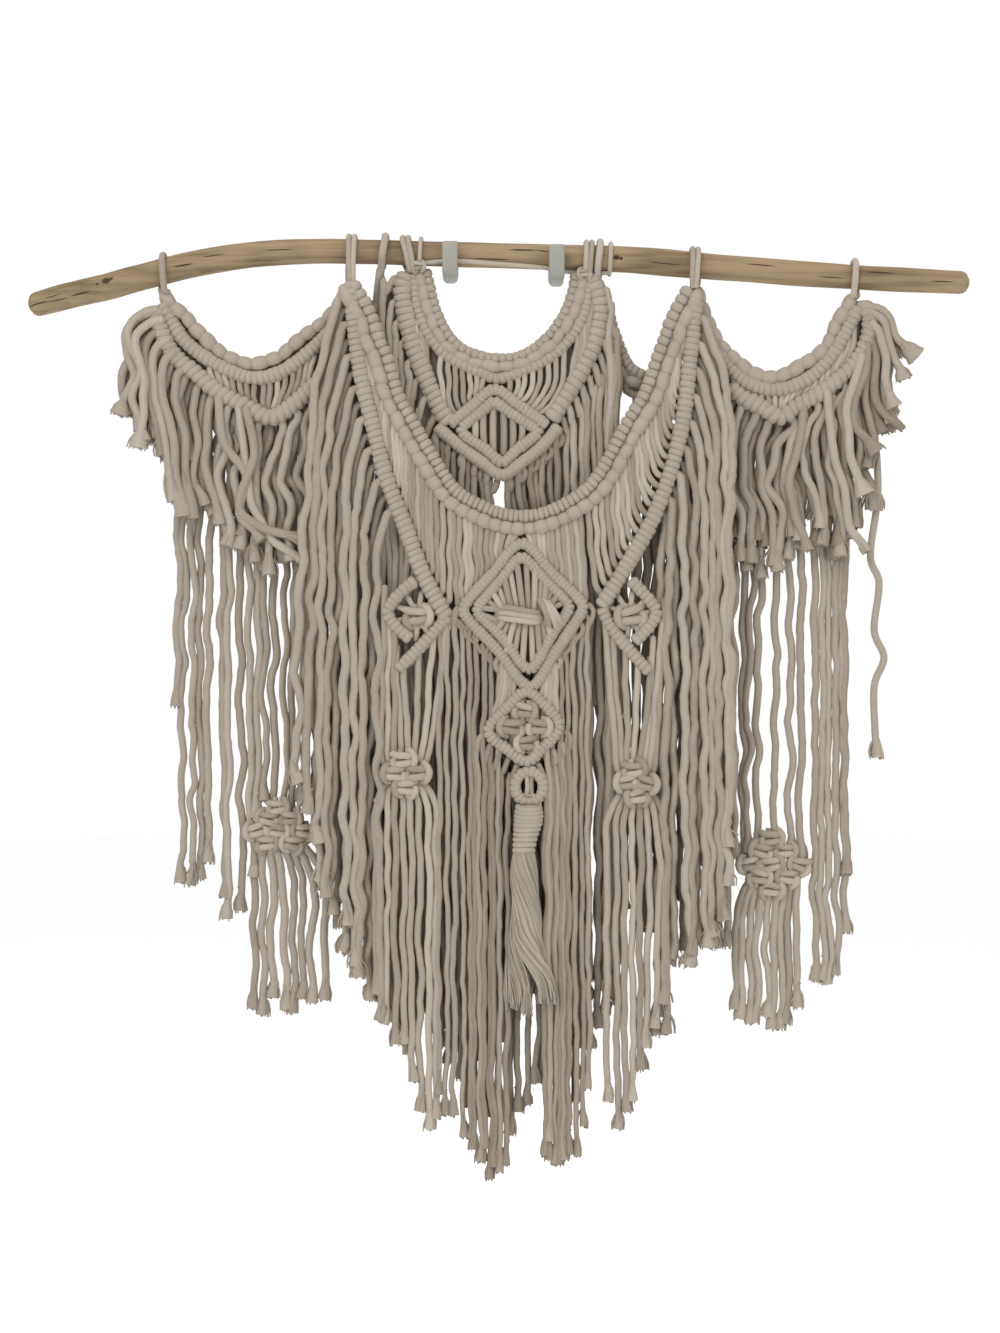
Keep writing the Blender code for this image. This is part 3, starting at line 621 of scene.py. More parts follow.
def endOf(cord):
    # A cord's last point, the way it points there and its radius
    x, y, z = cord["route"][-1]
    px, _, pz = cord["route"][-2]
    size = math.dist((x, z), (px, pz))
    r = cord["radius"][-1] if isinstance(cord["radius"], list) else cord["radius"]
    return x, y, z, (x - px) / size, (z - pz) / size, r


def brushes(cords):
    # The soft, widening mass of combed-out fibre past each cut end
    made = []
    for cord in cords:
        x, y, z, alongX, alongZ, r = endOf(cord)
        length, spread = cord.get("fray", fray["length"]), cord.get("spread", fray["spread"])
        route = [(x + alongX * length * share, y, z + alongZ * length * share)
                 for share in fray["brushShares"]]
        radii = [r * 0.8, r * 0.98, r * (1 + spread) * 0.46, r * spread * 0.84]
        made.append({"route": route, "radius": radii, "tone": cord["tone"],
                     "play": [cord.get("play", [1])[-1]] * 4})
    return made


def tufts(cords):
    # Loose fibres at the cut ends
    strands = []
    for cord in cords:
        x, y, z, alongX, alongZ, r = endOf(cord)
        whole, spread = cord.get("fray", fray["length"]), cord.get("spread", fray["spread"])
        for _ in range(fray["strands"]):
            turn, reach = dice.uniform(0, 2 * math.pi), math.sqrt(dice.random())
            length = whole * dice.uniform(*fray["uneven"])
            near, far = r * 0.8 * reach, r * spread * reach * dice.uniform(0.75, 1.15)
            route = [(x + near * math.cos(turn) - alongX * 4, y + near * math.sin(turn), z - alongZ * 4)]
            for share, wide in ((0.45, (near + far) * 0.6), (1.0, far)):
                u = wide * math.cos(turn)
                route.append((x + alongX * length * share + alongZ * u, y + wide * math.sin(turn) * 0.7,
                              z + alongZ * length * share - alongX * u))
            strands.append({"route": route, "radius": fray["radius"],
                            "tone": cord["tone"] + dice.uniform(-0.2, 0.2),
                            "play": [cord.get("play", [1])[-1]] * 3})
    return strands


def fringeOf(name, cords, sway=3.0, swayLength=48.0, shared=9.0, own=1.6, kink=5.0, step=4.5):
    return [cordsOf(name, cords, 7, step, sway, swayLength, shared, own, kink),
            cordsOf(name + "Brushes", brushes(cords), 8, fray["step"], sway, swayLength, shared, own, kink),
            cordsOf(name + "Tufts", tufts(cords), fray["sides"], fray["step"], sway, swayLength, shared,
                    own, kink)]


# The main swag: heading, side bands and the net between them.

mainSwag = {
    "y": -38.0,
    "heading": [(-124.5, -27), (-117.5, -38), (-109, -55), (-104, -72), (-97, -87), (-89, -115),
                (-75, -141), (-61, -165), (-42, -193), (-16, -208), (2, -213.7), (19, -214.6), (36, -211),
                (55, -202), (71, -190), (84, -172.5), (100, -142), (114, -119), (120.5, -104), (126, -87),
                (132, -71), (138, -55), (144, -43), (151, -31)],
    "left": [(-122, -24), (-120, -40), (-117, -75), (-111, -110), (-102.5, -144), (-93.6, -179),
             (-80, -214), (-66, -252), (-56, -272), (-46, -290)],
    "right": [(152, -33), (151, -52), (147, -93), (142, -134), (132, -175), (116, -216), (93, -256),
              (77, -281)],
    "knotPitch": 11.4, "bunch": 0.24,  # the knots sit closer at the middle of the arch
    "bandSize": {"left": (1.2, 1, 0.96), "right": (1.2, 1, 0.9)}, "bandLean": 5,
}
mainNet = {
    "left": {"count": 29, "from": [0.015, 0.4], "to": [0.02, 0.98], "leave": -9.0, "enter": 8.0,
             "slack": 0.18},
    "right": {"count": 31, "from": [0.985, 0.605], "to": [0.02, 0.98], "leave": -9.0, "enter": -8.0,
              "slack": 0.18},
    "centreLeft": {"count": 12, "x": [-37, 12], "toX": [-36, 10], "leave": -9.0, "enter": 4.5,
                   "slack": 0.4},
    "centreRight": {"count": 12, "x": [57, 17], "toX": [64, 18], "leave": -9.0, "enter": -4.5,
                    "slack": 0.4},
    "radius": 2.6,
    # Where the centre cords end: the upper sides of the big diamond
    "upLeft": [(-36, -284), (-28, -276), (-9, -255), (12, -233)],
    "upRight": [(66, -281), (57, -273), (38, -255), (16, -233)],
}
bigDiamond = {
    "outer": [(14, -231), (38, -255), (57, -273), (62.5, -281), (59, -290), (41, -317), (20.5, -345),
              (-5, -316), (-27, -293), (-32, -284), (-28, -276), (-9, -255)],
    "inner": [(14, -242.5), (33, -260.5), (48, -276), (51.5, -281.5), (49, -288), (37.5, -305), (20, -331),
              (-2, -305), (-18, -290), (-21, -284.5), (-18, -278), (-3, -260.5)],
    "pitch": 3.3,
    "size": (0.94, 0.9, 0.68),
}


def makeMainSwag():
    y, heading = mainSwag["y"], mainSwag["heading"]
    piece("main_heading_knots", headingOf("mainHeading", heading, y, mainSwag["knotPitch"], seed=3,
                                          bunch=mainSwag["bunch"]), ["main_heading"])
    for side, seed, lean in (("left", 5, -mainSwag["bandLean"]), ("right", 6, mainSwag["bandLean"])):
        band = bandOf("mainBand", mainSwag[side], y, seed=seed, lean=lean, size=mainSwag["bandSize"][side])
        piece("main_side_band_" + side, band, ["main_side_" + side])
    cords = []
    for key, end in (("left", mainSwag["left"]), ("right", mainSwag["right"]),
                     ("centreLeft", mainNet["upLeft"]), ("centreRight", mainNet["upRight"])):
        cords += legs({**mainNet[key], "radius": mainNet["radius"], "y": y + 1.0}, heading, end)
    piece("main_net_cords", [cordsOf("mainNet", cords, 8, 4.0, 0.9, 30.0, 6.0)], ["main_net"])


makeMainSwag()
print("main heading, side bands and net")


def ringBand(name, path, y, values, seed):
    return bandOf(name, path, y, values["pitch"], size=values["size"], closed=True, seed=seed, core=2.2)


secondDiamond = {
    "outer": [(18, -348.5), (33, -361), (41.5, -370), (43.5, -377), (40, -384), (30, -394.5), (18, -404.5),
              (3, -395), (-8, -387), (-12.5, -380), (-8.5, -373), (3, -361)],
    "pitch": 3.8,
    "size": (0.95, 0.85, 0.68),
    "knots": [(17, -364), (5, -377), (28.5, -377), (17.5, -390)], "knotScale": 1.04,
    # Upright cords behind the knots, as long as the diamond is tall where they stand
    "cordsX": range(-4, 44, 5), "cordRadius": 2.4, "middle": (18, -377), "halfWide": 30, "slope": 0.85,
}
smallDiamonds = {
    "left": {"curl": [(-71, -261), (-82, -270), (-91, -281), (-92.5, -287), (-87, -296), (-75, -307)],
             "tail": [(-45, -289), (-58, -304), (-70, -317), (-84, -331)], "knot": (-68, -289)},
    "right": {"curl": [(101, -261), (110, -270), (119, -281), (121, -287), (115.5, -297), (104, -309)],
              "tail": [(78, -283), (84, -296), (98, -314), (115, -333)], "knot": (100, -289)},
    "pitch": 4.4, "size": (1.1, 0.85, 0.72), "core": 2.5, "knotScale": 1.2,
    # Cords around each knot: number, radius, turn, and for each point its distance from the middle and depth
    "spokes": 10, "spokeRadius": 2.3, "spokeTurn": 0.2, "spokeRoute": ((19, 4), (12, 1), (4, 3)),
}
# One square knot, in mm about its middle: two bars that slope together, a loop that holds them at one side,
# and the ends that leave at the other.
squareKnot = {
    "radius": 2.75,
    "routes": [
        [(-8.8, 2.0, 5.2), (-6.0, -1.2, 4.0), (-0.5, -3.2, 3.0), (4.2, -2.0, 2.4), (7.0, 2.0, 2.2)],
        [(-8.8, 2.0, -3.2), (-5.8, -1.4, -3.1), (-0.5, -3.0, -2.8), (4.2, -2.0, -2.3), (7.0, 2.0, -2.0)],
        [(3.4, 2.0, 6.8), (6.4, -2.2, 4.6), (8.0, -3.2, 0.2), (6.6, -2.2, -4.4), (3.4, 2.0, -6.6)],
        [(-5.2, 2.5, 1.2), (-8.6, -0.6, -0.2), (-8.8, -1.4, -3.4), (-6.4, -0.4, -6.6), (-4.6, 2.5, -8.6)],
    ],
    "fillers": [-2.8, 2.6],
}


def knotCords(centres, y, scale=1.0, flip=0):
    cords = []
    for n, (x, z) in enumerate(centres):
        hand = -1 if (n + flip) % 2 else 1
        tilt = dice.uniform(-0.3, 0.3)
        size = scale * dice.uniform(0.94, 1.06)
        for route in squareKnot["routes"]:
            placed = []
            for a, b, c in route:
                u, v = a * hand * size, c * size
                placed.append((x + u * math.cos(tilt) - v * math.sin(tilt), y + b * size,
                               z + u * math.sin(tilt) + v * math.cos(tilt)))
            cords.append({"route": placed, "radius": squareKnot["radius"] * size, "tone": dice.random()})
        for offset in squareKnot["fillers"]:
            cords.append({"route": [(x + offset * size, y + 1.0, z + 8 * size),
                                    (x + offset * size, y + 0.5, z),
                                    (x + offset * size, y + 1.0, z - 8 * size)],
                          "radius": squareKnot["radius"] * 0.9 * size, "tone": dice.random()})
    return cords


gather = {
    "radius": 2.55,
    # Roots along the diamond's inner edge, and where each set of cords meets the waist
    "upper": {"roots": [(-17, -283), (17, -247), (46, -279)], "count": 14, "waistZ": -284.0,
              "waistX": [-4, -3, -1, 2, 6, 10.5, 15, 19.5, 24, 28, 31, 32, 34, 35]},
    "lower": {"roots": [(-16, -288), (17, -327), (45, -290)], "count": 13, "waistZ": -292.0,
              "waistX": [-6, -3, 0, 4, 8.5, 13, 17, 21.5, 26, 30, 34, 37, 39]},
    "turns": [[(-5, -283), (2, -282.5), (13, -284.5), (25, -286.5), (31, -286)],
              [(-6, -286.5), (2, -286.5), (13, -288.5), (25, -290), (31, -289)],
              [(-5, -290.5), (3, -291), (13, -292.5), (24, -293.5), (30, -292)]],
    "tucks": [[(27, -275), (31, -281), (35, -292), (36, -304)],
              [(30, -274), (35, -282), (40, -293), (42, -300)],
              [(33, -276), (38, -283), (43, -291), (46, -296)]],
}


def makeGather(y):
    # Cords of the big diamond, drawn together at the waist by a few turns of cord
    cords = []
    for key, turn in (("upper", 1), ("lower", -1)):
        values = gather[key]
        path = smoothPath(values["roots"])
        for k in range(values["count"]):
            share = k / (values["count"] - 1)
            rootX, rootZ = spot(path, share, 5.0 * turn)
            outX, outZ = spot(path, share, 1.0 * turn)
            waist, deep = at(values["waistX"], share), y + (1.2 if k % 2 else -0.6)
            route = [(rootX, y + 3.0, rootZ), (outX, deep - 1.0, outZ),
                     (outX * 0.45 + waist * 0.55, deep - 2.6, outZ * 0.45 + values["waistZ"] * 0.55),
                     (waist, deep - 1.5, values["waistZ"]),
                     (waist, deep + 1.0, values["waistZ"] - 4.0 * turn)]
            cords.append({"route": route, "radius": gather["radius"], "tone": dice.random()})
    for depths, group in (((0.0, -5.5, -7.5, -6.0, 1.0), gather["turns"]),
                          ((0.0, -8.0, -6.5, 1.0), gather["tucks"])):
        for strand in group:
            route = [(x, y + deep, z) for (x, z), deep in zip(strand, depths)]
            cords.append({"route": route, "radius": gather["radius"], "tone": dice.random()})
    return cordsOf("gather", cords, 8, 2.5)


pendant = {
    "ringCentre": (20, -424.5), "ringWide": 11.0, "ringTall": 12.4, "ringPitch": 4.4,
    "ringSize": (1.15, 0.85, 0.66),
    "coilTurns": 10, "coilCord": 2.5, "coilSteps": 12, "coilAskew": 1.3,
    "coil": [(19.5, -439, 8.2), (19.7, -447, 9.6), (19.0, -455, 9.3), (17.0, -465, 7.9), (15.6, -476, 7.0)],
    # Middle x, height, half width and half depth down the tassel
    "tassel": [(15.5, -474, 7.5, 7), (15.5, -483, 11, 8), (17, -494, 10, 8), (18, -514, 11.5, 8.5),
               (16.5, -536, 12.5, 9), (17.5, -557, 15, 9), (19, -578, 20, 9.5), (19, -596, 22, 9.5)],
    "strands": 420, "strandRadius": 0.9, "twist": 3.6,
    "bunches": [(-10.5, -597), (3.0, -602), (14.0, -592)], "bunchWide": 8.5,
}


def makePendant(y):
    cx, cz = pendant["ringCentre"]
    ring = [(cx + pendant["ringWide"] * math.sin(t), cz + pendant["ringTall"] * math.cos(t))
            for t in np.linspace(0, 2 * math.pi, 13)[:-1]]
    ringParts = bandOf("ring", ring, y, pendant["ringPitch"], size=pendant["ringSize"], closed=True,
                       seed=21, core=2.0)
    inside = [{"route": [(cx + u, y, cz + 11), (cx + u * 0.6, y - 1.5, cz + 1), (cx + u, y, cz - 11)],
               "radius": 1.9, "tone": dice.random()} for u in (-2.4, 2.4)]
    inside += knotCords([(cx, cz - 8.5)], y - 1.5, 0.5)
    piece("main_ring_band", ringParts + [cordsOf("ringCords", inside, 7, 3.0)], ["main_ring"])
    coil, turns, shape = [], pendant["coilTurns"], pendant["coil"]
    steps = pendant["coilSteps"]
    for k in range(turns * steps + 1):
        share, turn = k / (turns * steps), 2 * math.pi * k / steps
        x, z, r = (at([row[n] for row in shape], share) for n in range(3))
        z += pendant["coilAskew"] * math.sin(turn + 2.2 * share)  # turns lie a little askew
        coil.append((x + r * math.cos(turn), y - 2 + r * 0.9 * math.sin(turn), z))
    core = {"route": [(x, y - 2, z) for x, z, r in shape], "radius": [r - 0.3 for x, z, r in shape],
            "tone": 0.4}
    turned = {"route": coil, "radius": pendant["coilCord"], "tone": 0.6}
    piece("main_wrap_coil", [cordsOf("coil", [turned, core], 8, 2.6)], ["main_wrap"])
    strands, outline = [], pendant["tassel"]
    for _ in range(pendant["strands"]):
        turn, reach = dice.uniform(0, 2 * math.pi), dice.random() ** 0.4
        ending = turn + pendant["twist"]
        group = pendant["bunches"][min(2, max(0, int(1.5 + 1.6 * math.cos(ending))))]
        tip = group[1] + dice.uniform(-5, 4)
        route = []
        for k in range(10):
            share = k / 9
            x, z, wide, deep = (at([row[n] for row in outline], share) for n in range(4))
            spun = turn + pendant["twist"] * min(1.0, share * 1.15)
            u = wide * reach * math.cos(spun)
            gathered = max(0.0, (share - 0.62) / 0.38) ** 1.3
            own = group[0] + pendant["bunchWide"] * reach * math.cos(ending * 3 + turn)
            u = u * (1 - gathered) + own * gathered
            z = outline[0][1] + (tip - outline[0][1]) * share
            route.append((x + u + dice.uniform(-0.5, 0.5), y - 2 + deep * reach * math.sin(spun), z))
        r = pendant["strandRadius"]
        strands.append({"route": route, "radius": [r] * 9 + [r * 0.6], "tone": dice.random()})
    filling = {"route": [(x, y - 1, z) for x, z, wide, deep in outline[:6]],
               "radius": [wide * 0.62 for x, z, wide, deep in outline[:6]], "tone": 0.2}
    parts = [cordsOf("tassel", strands, 4, 6.0), cordsOf("tasselFilling", [filling], 8, 6.0)]
    piece("main_tassel_strands", parts, ["main_tassel"])


def spokes(centre, y):
    # Cords that run from a small diamond's bands to its knot
    cords = []
    for turn in np.linspace(0, 2 * math.pi, smallDiamonds["spokes"] + 1)[:-1] + smallDiamonds["spokeTurn"]:
        u, v = math.cos(turn), math.sin(turn)
        route = [(centre[0] + u * reach, y + deep, centre[1] + v * reach)
                 for reach, deep in smallDiamonds["spokeRoute"]]
        cords.append({"route": route, "radius": smallDiamonds["spokeRadius"], "tone": dice.random()})
    return cords


def makeDiamonds():
    y, second, small = mainSwag["y"], secondDiamond, smallDiamonds
    piece("main_diamond_band", ringBand("mainDiamond", bigDiamond["outer"], y, bigDiamond, 8),
          ["main_diamond"])
    piece("main_diamond_inner_band", ringBand("mainDiamondInner", bigDiamond["inner"], y, bigDiamond, 9),
          ["main_diamond_inner"])
    piece("main_gather_cords", [makeGather(y)], ["main_diamond_cords"])
    piece("main_second_diamond_band", ringBand("second", second["outer"], y, second, 10),
          ["main_second_diamond"])
    filling = []
    middleX, middleZ = second["middle"]
    for x in second["cordsX"]:
        high = (second["halfWide"] - abs(x - middleX)) * second["slope"]
        route = [(x, y + 4, middleZ + high), (x, y + 2, middleZ), (x, y + 4, middleZ - high)]
        filling.append({"route": route, "radius": second["cordRadius"], "tone": dice.random()})
    knots = knotCords(second["knots"], y - 0.5, second["knotScale"])
    piece("main_second_knot_cords", [cordsOf("secondKnots", knots + filling, 7, 2.4)],
          ["main_second_knots"])
    for side in ("left", "right"):
        values, parts = small[side], []
        for row, seed in (("curl", 12), ("tail", 13)):
            parts += bandOf(row, values[row], y, small["pitch"], size=small["size"], seed=seed,
                            core=small["core"])
        heart = knotCords([values["knot"]], y + 1, small["knotScale"], side == "right")
        parts.append(cordsOf("heart", heart, 7, 2.4))
        parts.append(cordsOf("spokes", spokes(values["knot"], y), 7, 3.0))
        piece("main_small_diamond_" + side + "_band", parts, ["main_small_diamond_" + side])


makeDiamonds()
makePendant(mainSwag["y"])
print("diamonds, ring, wrap and tassel")


# Cords of the main swag that hang free.

tipLine = [(-130, -548), (-114, -582), (-92, -610), (-76, -645), (-62, -694), (-48, -672), (-30, -703),
           (-11, -730), (2, -728), (17, -688), (25, -650), (33, -710), (43, -725), (54, -716), (63, -697),
           (75, -600), (84, -702), (104, -679), (113, -632), (132, -616), (146, -560)]


def tipsFor(xs):
    # Heights of the tips along the hanging's lower edge
    return [float(v) for v in np.interp(xs, [p[0] for p in tipLine], [p[1] for p in tipLine])]


mainFringe = {
    "outerLeft": {"count": 15, "roots": [0.03, 0.66], "side": -7.5, "x": [-155, -141, -122, -101],
                  "footX": [-163, -146, -124, -101], "scatter": 1.5, "ragged": 10,
                  "tips": [-427, -455, -468, -497, -520, -550, -568, -585, -608],
                  "bend": [135, 100, 70, 45]},
    "outerRight": {"count": 16, "roots": [0.07, 0.66], "side": 6.0, "x": [180, 171, 161, 147, 124],
                   "scatter": 1.2, "ragged": 7,
                   "tips": [-480, -510, -535, -548, -552, -562, -566, -620], "bend": [80, 70, 55, 45]},
    "centreLeft": {"count": 9, "roots": [0.0, 0.05, 0.62], "side": -4.5, "bend": [24, 14, 12],
                   "radius": 2.3, "x": [-51, -44.5, -38.5, -33, -27.5, -22, -16.5, -11, -5]},
    "centreRight": {"count": 7, "roots": [0.0, 0.62], "side": 4.5, "bend": [20, 12, 12], "radius": 2.3,
                    "x": [66.5, 61, 56, 50.5, 45, 40, 35]},
    "secondLeft": {"count": 5, "roots": [0.05, 0.9], "side": -4.5, "bend": [18, 12], "radius": 2.35,
                   "x": [-21, -13, -5, 3]},
    "secondRight": {"count": 5, "roots": [0.05, 0.9], "side": 4.5, "bend": [18, 12], "radius": 2.35,
                    "x": [52, 45, 38, 33]},
    "outer": {"radius": 3.6, "stagger": 7.0, "drift": 4},
    "inner": {"ragged": 9, "shade": 0.2, "stagger": 0.8},
}
lowerSides = {
    "centreLeft": [(-34, -281), (-27, -293), (-5, -316), (18, -344)],
    "centreRight": [(65, -279), (59, -290), (41, -317), (23, -344)],
    "secondLeft": [(-15, -380), (-10, -388), (3, -397), (16, -408)],
    "secondRight": [(48, -378), (42, -387), (31, -398), (22, -408)],
}
betweenDiamonds = {
    "Left": {"leave": -4.5, "enter": 4.0}, "Right": {"leave": 4.5, "enter": -4.0},
    "both": {"from": [0.66, 0.9], "to": [0.1, 0.8], "slack": 0.1, "count": 5, "radius": 2.4},
    "tops": {"Left": [(-11, -376), (-6, -370), (3, -361), (16, -350)],
             "Right": [(42, -373), (38, -366), (32, -360), (20, -350)]},
}


def makeMainFringes():
    y = mainSwag["y"]
    for side in ("Left", "Right"):
        outer = {**mainFringe["outer" + side], **mainFringe["outer"], "y": y + 1}
        cords = hanging(outer, mainSwag[side.lower()])
        piece("main_fringe_" + side.lower() + "_cords",
              fringeOf("outer" + side, cords, 1.5, 56.0, kink=13.0), ["main_fringe_outer_" + side.lower()])
    for side in ("Left", "Right"):
        cords = []
        for key in ("centre" + side, "second" + side):
            values = {**mainFringe[key], **mainFringe["inner"], "y": y + 1}
            values["tips"] = tipsFor([at(values["x"], k / (values["count"] - 1))
                                      for k in range(values["count"])])
            cords += hanging(values, lowerSides[key])
        short = {**betweenDiamonds[side], **betweenDiamonds["both"], "y": y + 1.5}
        short = legs(short, lowerSides["centre" + side], betweenDiamonds["tops"][side])
        parts = fringeOf("centre" + side, cords, 0.8, 85.0, 5.0, kink=7.0)
        parts.append(cordsOf("short", short, 8, 4.0))
        piece("main_centre_cords_" + side.lower(), parts, ["main_fringe_" + side.lower()])


makeMainFringes()

# Cords come down from "edge", meet in the cluster within "flare" of its middle and end at the x of "spread"
mainClusters = {
    "left": {"middle": (-79, -415), "knots": [(-79, -403), (-88, -414), (-68, -413.5), (-79, -425)],
             "edge": [(-95, -270), (-92, -285), (-86, -306), (-84, -328), (-70, -318), (-56, -304),
                      (-46, -292)],
             "flare": 19.0, "spread": [-102, -93, -86, -80, -74, -67, -60, -54]},
    "right": {"middle": (105, -423), "knots": [(104, -411), (97, -421), (113, -422), (105, -432)],
              "edge": [(80, -286), (85, -298), (99, -316), (114, -332), (119, -308), (126, -294),
                       (127, -280)],
              "flare": 15.0, "spread": [82, 89, 96, 102, 108, 115, 122, 129]},
    "radius": 2.7, "scale": 1.05, "bow": 7,
}


def makeMainClusters():
    y = mainSwag["y"]
    for side in ("left", "right"):
        values = mainClusters[side]
        cx, cz = values["middle"]
        edge = smoothPath(values["edge"])
        above, below = [], []
        count = len(values["spread"])
        for k in range(count):
            share = k / (count - 1)
            x, z = spot(edge, share, 0)
            deep = y + 1 + (k % 2) * 0.8
            inX = cx + (share - 0.5) * 2 * values["flare"]
            bow = math.sin(share * math.pi) * mainClusters["bow"]
            tone = dice.random()
            knotX = cx + (inX - cx) * 0.6
            route = [(x, deep + 2, z + 5), (x, deep, z - 6), (x + (inX - x) * 0.5, deep, (z + cz) / 2),
                     (inX, deep, cz + 16 + bow * 0.4), (knotX, deep + 2, cz + 6)]
            above.append({"route": route, "radius": mainClusters["radius"], "tone": tone,
                          "play": [0, 0.3, 1, 0.3, 0]})
            far = values["spread"][k]
            tip = tipsFor([far])[0] + fray["length"] + dice.uniform(-8, 8)
            route = [(knotX, deep + 2, cz - 5), (inX * 0.6 + far * 0.4, deep, cz - 16 - bow * 0.4),
                     (far, deep, cz - 42), (far, deep, (cz - 42 + tip) / 2),
                     (far + dice.uniform(-2, 2), deep, tip)]
            below.append({"route": route, "radius": mainClusters["radius"] * 1.05, "tone": tone,
                          "play": [0, 0.3, 1, 1, 1]})
        piece("main_small_cords_" + side, [cordsOf("above", above, 8, 4.5, 0.8, 70.0, 5.0, kink=6.0)],
              ["main_cords_small_" + side])
        parts = fringeOf("below" + side, below, 0.9, 80.0, 5.0, kink=7.0)
        knots = knotCords(values["knots"], y - 2.5, mainClusters["scale"])
        parts.append(cordsOf("clusterKnots", knots, 7, 2.4))
        piece("main_cluster_" + side + "_knots", parts, ["main_cluster_" + side])


makeMainClusters()
print("main fringes and clusters")


# The middle swag, behind the main one.

